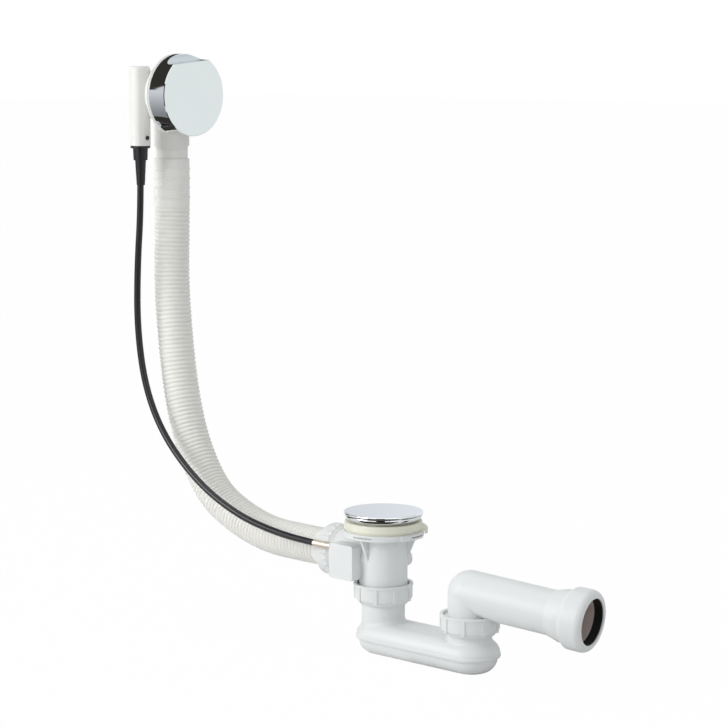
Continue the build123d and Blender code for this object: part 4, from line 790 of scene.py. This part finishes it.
# %% Sizes of the disc
disc_radius = 0.036
disc_low = 0.0066
disc_thick = 0.0026
disc_crown = 0.0006
low_round = 0.0007
top_round = 0.0008
dome_steps = 24
steps_round_disc = 192
disc_top = disc_low + disc_thick
print("disc from", disc_low, "to", round(disc_top, 4))

# %% Plug disc
low_middle = (disc_radius - low_round, disc_low + low_round)
top_middle = (disc_radius - top_round, disc_top - disc_crown - top_round)
disc_profile = [(0, disc_low), (low_middle[0], disc_low)]
for degrees in range(-72, 1, 18):
    turn = radians(degrees)
    disc_profile.append((low_middle[0] + low_round * cos(turn), low_middle[1] + low_round * sin(turn)))
for degrees in range(0, 76, 15):
    turn = radians(degrees)
    disc_profile.append((top_middle[0] + top_round * cos(turn), top_middle[1] + top_round * sin(turn)))
for step in range(dome_steps, -1, -1):
    reach = top_middle[0] * step / dome_steps
    disc_profile.append((reach, disc_top - disc_crown * (reach / disc_radius) ** 2))
disc = turned("plug_disc", disc_profile, steps_round_disc, chrome)
hand_over(disc, "plug_cap")
print("plug disc profile points:", len(disc_profile))

# %% [markdown]
# ## Studio
# The photograph is a cut-out on pure white with soft light from all round. The world lights the
# object at about half of white, while the camera, mirrors and clear things see plain white. The
# floor is shown almost white too, and keeps a trace of the object's shadow. So both ask which kind
# of ray is looking at them.


# %% Helper: which rays are looking
def any_ray(tree, *kinds):
    """A socket that is 1 for rays of any of the kinds and 0 for all others."""
    path = tree.nodes.new("ShaderNodeLightPath").outputs
    seen = path[kinds[0]]
    for kind in kinds[1:]:
        seen = formula(tree, "MAXIMUM", seen, path[kind])
    return seen


def mix_shaders(tree, share, first, second, output_kind):
    """Mixes two shaders and ends the tree with them."""
    mix = tree.nodes.new("ShaderNodeMixShader")
    tree.links.new(share, mix.inputs["Fac"])
    tree.links.new(first, mix.inputs[1])
    tree.links.new(second, mix.inputs[2])
    tree.links.new(mix.outputs[0], tree.nodes.new(output_kind).inputs["Surface"])


# %% World
ambient_colour = (0.97, 0.985, 1.0, 1)
ambient_strength = 0.52
world = bpy.data.worlds.new("studio")
scene.world = world
world.use_nodes = True
sky = world.node_tree
sky.nodes.clear()
ambient = sky.nodes.new("ShaderNodeBackground")
ambient.inputs["Color"].default_value = ambient_colour
ambient.inputs["Strength"].default_value = ambient_strength
white = sky.nodes.new("ShaderNodeBackground")
white.inputs["Color"].default_value = (1, 1, 1, 1)
white.inputs["Strength"].default_value = 1.0
looked_at = any_ray(sky, "Is Camera Ray", "Is Transmission Ray", "Is Glossy Ray")
mix_shaders(sky, looked_at, ambient.outputs[0], white.outputs[0], "ShaderNodeOutputWorld")
print("world: ambient", ambient_strength)


# %% Helper: flat stage pieces
def stage_sheet(name, centre, facing, width, height, material):
    """A flat rectangle that looks towards a point; it belongs to the studio alone."""
    mesh = bpy.data.meshes.new(name)
    w, h = width / 2, height / 2
    mesh.from_pydata([(-w, -h, 0), (w, -h, 0), (w, h, 0), (-w, h, 0)], [], [(0, 1, 2, 3)])
    mesh.materials.append(material)
    sheet = bpy.data.objects.new(name, mesh)
    sheet.location = centre
    sheet.rotation_mode = "QUATERNION"
    sheet.rotation_quaternion = (Vector(facing) - Vector(centre)).to_track_quat("Z", "Y")
    scene.collection.objects.link(sheet)
    sheet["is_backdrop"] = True
    return sheet


# %% Floor material
floor_grey = (0.86, 0.86, 0.86, 1)
white_share = 0.98
floor_material = bpy.data.materials.new("pale_floor")
floor_material.use_nodes = True
floor_tree = floor_material.node_tree
floor_tree.nodes.clear()
floor_paint = floor_tree.nodes.new("ShaderNodeBsdfDiffuse")
floor_paint.inputs["Color"].default_value = floor_grey
floor_glow = floor_tree.nodes.new("ShaderNodeEmission")
floor_glow.inputs["Strength"].default_value = 1.0
floor_seen = any_ray(floor_tree, "Is Camera Ray", "Is Transmission Ray")
mix_shaders(floor_tree, formula(floor_tree, "MULTIPLY", floor_seen, white_share),
            floor_paint.outputs[0], floor_glow.outputs[0], "ShaderNodeOutputMaterial")
print("floor shown", white_share, "white")

# %% Floor
floor_width = 30
floor_z = cad_low.z - 0.0005
stage_sheet("floor", (0, 0, floor_z), (0, 0, floor_z + 1), floor_width, floor_width, floor_material)
print("floor at", round(floor_z, 4))

# %% [markdown]
# Three large square lamps stand for the photographer's soft boxes: a key from the front left, a weak
# fill from the right that keeps the pipe's side open, and one overhead.


# %% Lamps
def soft_lamp(name, centre, facing, size, power):
    """A large square lamp that looks towards a point."""
    lamp_data = bpy.data.lights.new(name, "AREA")
    lamp_data.shape = "SQUARE"
    lamp_data.size = size
    lamp_data.energy = power
    lamp = bpy.data.objects.new(name, lamp_data)
    lamp.location = centre
    lamp.rotation_mode = "QUATERNION"
    lamp.rotation_quaternion = (Vector(centre) - Vector(facing)).to_track_quat("Z", "Y")
    scene.collection.objects.link(lamp)


object_middle = (-0.1, 0, 0.1)
soft_lamp("key", (-1.1, -2.2, 1.0), object_middle, 1.4, 36)
soft_lamp("fill", (2.2, -0.4, 1.3), object_middle, 1.4, 5)
soft_lamp("top", (-0.4, 0.2, 2.0), object_middle, 1.6, 7)

# %% [markdown]
# ## Cards for the chrome
# Chrome has no colour of its own: it shows the room. In the photograph the knob's side mirrors a
# dark room with one pale window, its face a pale wall, and the plug a soft blue-grey ceiling. Each
# of these is a card that only mirrors see, set where the reflected line of sight from the chrome
# meets it.


# %% Helper: glowing card materials
def glow(name, low_colour, high_colour, axis="Z", low=0.0, high=1.0):
    """A glow that changes from one colour to another along X or Z."""
    material = bpy.data.materials.new(name)
    material.use_nodes = True
    tree = material.node_tree
    tree.nodes.clear()
    place = tree.nodes.new("ShaderNodeNewGeometry")
    split = tree.nodes.new("ShaderNodeSeparateXYZ")
    tree.links.new(place.outputs["Position"], split.inputs["Vector"])
    share = tree.nodes.new("ShaderNodeMapRange")
    share.inputs["From Min"].default_value = low
    share.inputs["From Max"].default_value = high
    tree.links.new(split.outputs[axis], share.inputs["Value"])
    blend = tree.nodes.new("ShaderNodeMix")
    blend.data_type = "RGBA"
    blend.inputs["A"].default_value = (*low_colour, 1)
    blend.inputs["B"].default_value = (*high_colour, 1)
    tree.links.new(share.outputs["Result"], blend.inputs["Factor"])
    shine = tree.nodes.new("ShaderNodeEmission")
    tree.links.new(blend.outputs["Result"], shine.inputs["Color"])
    output = tree.nodes.new("ShaderNodeOutputMaterial")
    tree.links.new(shine.outputs[0], output.inputs["Surface"])
    return material


# %% Helper: flat and curved cards
def mirror_only(sheet):
    """Hides a stage piece from everything except mirrors."""
    sheet.visible_camera = False
    sheet.visible_diffuse = False
    sheet.visible_shadow = False
    sheet.visible_transmission = False


def card(name, start, direction, distance, width, height, material):
    """A flat card set off from a point of the object in a direction."""
    centre = start + Vector(direction).normalized() * distance
    mirror_only(stage_sheet(name, centre, start, width, height, material))


def ring_card(name, corners_of_row, row_count, material):
    """A curved card made of rows of corners; corners_of_row gives the corners of each row."""
    rows = [corners_of_row(i / row_count) for i in range(row_count + 1)]
    width = len(rows[0])
    faces = [
        (r * width + c, r * width + c + 1, (r + 1) * width + c + 1, (r + 1) * width + c)
        for r in range(row_count) for c in range(width - 1)
    ]
    mesh = bpy.data.meshes.new(name)
    mesh.from_pydata([corner for row in rows for corner in row], [], faces)
    mesh.materials.append(material)
    sheet = bpy.data.objects.new(name, mesh)
    scene.collection.objects.link(sheet)
    sheet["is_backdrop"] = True
    mirror_only(sheet)


# %% [markdown]
# Behind the knob a ring of cards stands round its axis: dark, a pale window, and dark again. In the
# photograph the window's edges lean across the knob's side, so each edge has one turn for the rear
# of the side and another for its front.

# %% Ring of cards round the knob
dark_room = glow("dark_room", (0.034, 0.032, 0.027), (0.034, 0.032, 0.027))
pale_window = glow("pale_window", (0.24, 0.25, 0.26), (0.66, 0.68, 0.72), "Z", 0.09, 0.42)
ring_x = -0.605
ring_reaches = (0.20, 0.360, 0.379, 0.50)
ring_fronts = (0, 0, 1, 1)


def knob_ring(low_turns, high_turns):
    """Corners between two edges round the knob's axis; an edge is its rear and its front turn."""
    def corners(share):
        row = []
        for reach, front in zip(ring_reaches, ring_fronts):
            turn = radians(low_turns[front] + (high_turns[front] - low_turns[front]) * share)
            row.append((ring_x, -reach * cos(turn), knob_axis_z + reach * sin(turn)))
        return row
    return corners


window_low, window_high = (-60, -65), (13, 27)
ring_card("card_dark_above", knob_ring(window_high, (200, 200)), 24, dark_room)
ring_card("card_window", knob_ring(window_low, window_high), 12, pale_window)
ring_card("card_dark_below", knob_ring((-124, -109), window_low), 10, dark_room)
print("ring cards at x", ring_x)

# %% [markdown]
# The bowl of the chrome flange looks down at the floor, so a dark strip lies there, with a low dark
# edge that stands up where the strip ends.

# %% Dark strips that the flange mirrors
strip_near, strip_far = 0.05, 0.50
strip_low, strip_high = floor_z + 0.0008, -0.062


def floor_strip(share):
    """A row from near the waste to the strip's far edge, over a wide angle towards the front."""
    turn = camera_turn + radians(-80 + 160 * share)
    return [(reach * sin(turn), -reach * cos(turn), strip_low) for reach in (strip_near, strip_far)]


def front_strip(share):
    """A low upright row at the far edge of the floor strip."""
    turn = camera_turn + radians(-44 + 88 * share)
    return [(strip_far * sin(turn), -strip_far * cos(turn), z) for z in (strip_low, strip_high)]


ring_card("card_floor_strip", floor_strip, 16, dark_room)
ring_card("card_front_strip", front_strip, 6, dark_room)
print("strips reach", strip_far)

# %% [markdown]
# The knob's face, its scoop and the plug's top are nearly flat, so each mirrors one flat card. A
# slow change of colour over the card gives the soft shading that they have in the photograph.

# %% Flat cards
knob_middle = Vector((-0.255, 0, knob_axis_z))
plug_middle = Vector((0, 0, 0.007))
face_wall = glow("face_wall", (0.86, 0.90, 0.89), (0.82, 0.88, 0.86), "Z", 0.0, 0.6)
plug_ceiling = glow("plug_ceiling", (0.68, 0.70, 0.75), (0.88, 0.92, 0.95), "X", -1.45, -1.12)
scoop_wall = glow("scoop_wall", (0.42, 0.48, 0.50), (0.72, 0.78, 0.80), "Z", 0.6, 1.3)
card("card_knob_face", knob_middle, (0.733, 0.68, -0.025), 1.6, 1.4, 1.4, face_wall)
card("card_plug_top", plug_middle, (-0.656, 0.729, 0.196), 2.0, 0.7, 0.6, plug_ceiling)
card("card_scoop", knob_middle, (0.0, 0.68, 0.62), 1.0, 1.8, 0.9, scoop_wall)
card("card_camera_side", knob_middle, (0.68, -0.73, 0.0), 1.2, 0.5, 1.0, dark_room)

# %% [markdown]
# ## Sizes
# The dressed object's box is measured again, and how far it grows past the solid one's box is printed.
# The dressed object may not outgrow the solid one, so its box is measured again.

# %% Measure how far the box grows
seen_low, seen_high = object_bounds()
growth = (*(cad_low - seen_low), *(seen_high - cad_high))
print("box grows by", [round(v * 1000, 2) for v in growth], "mm")
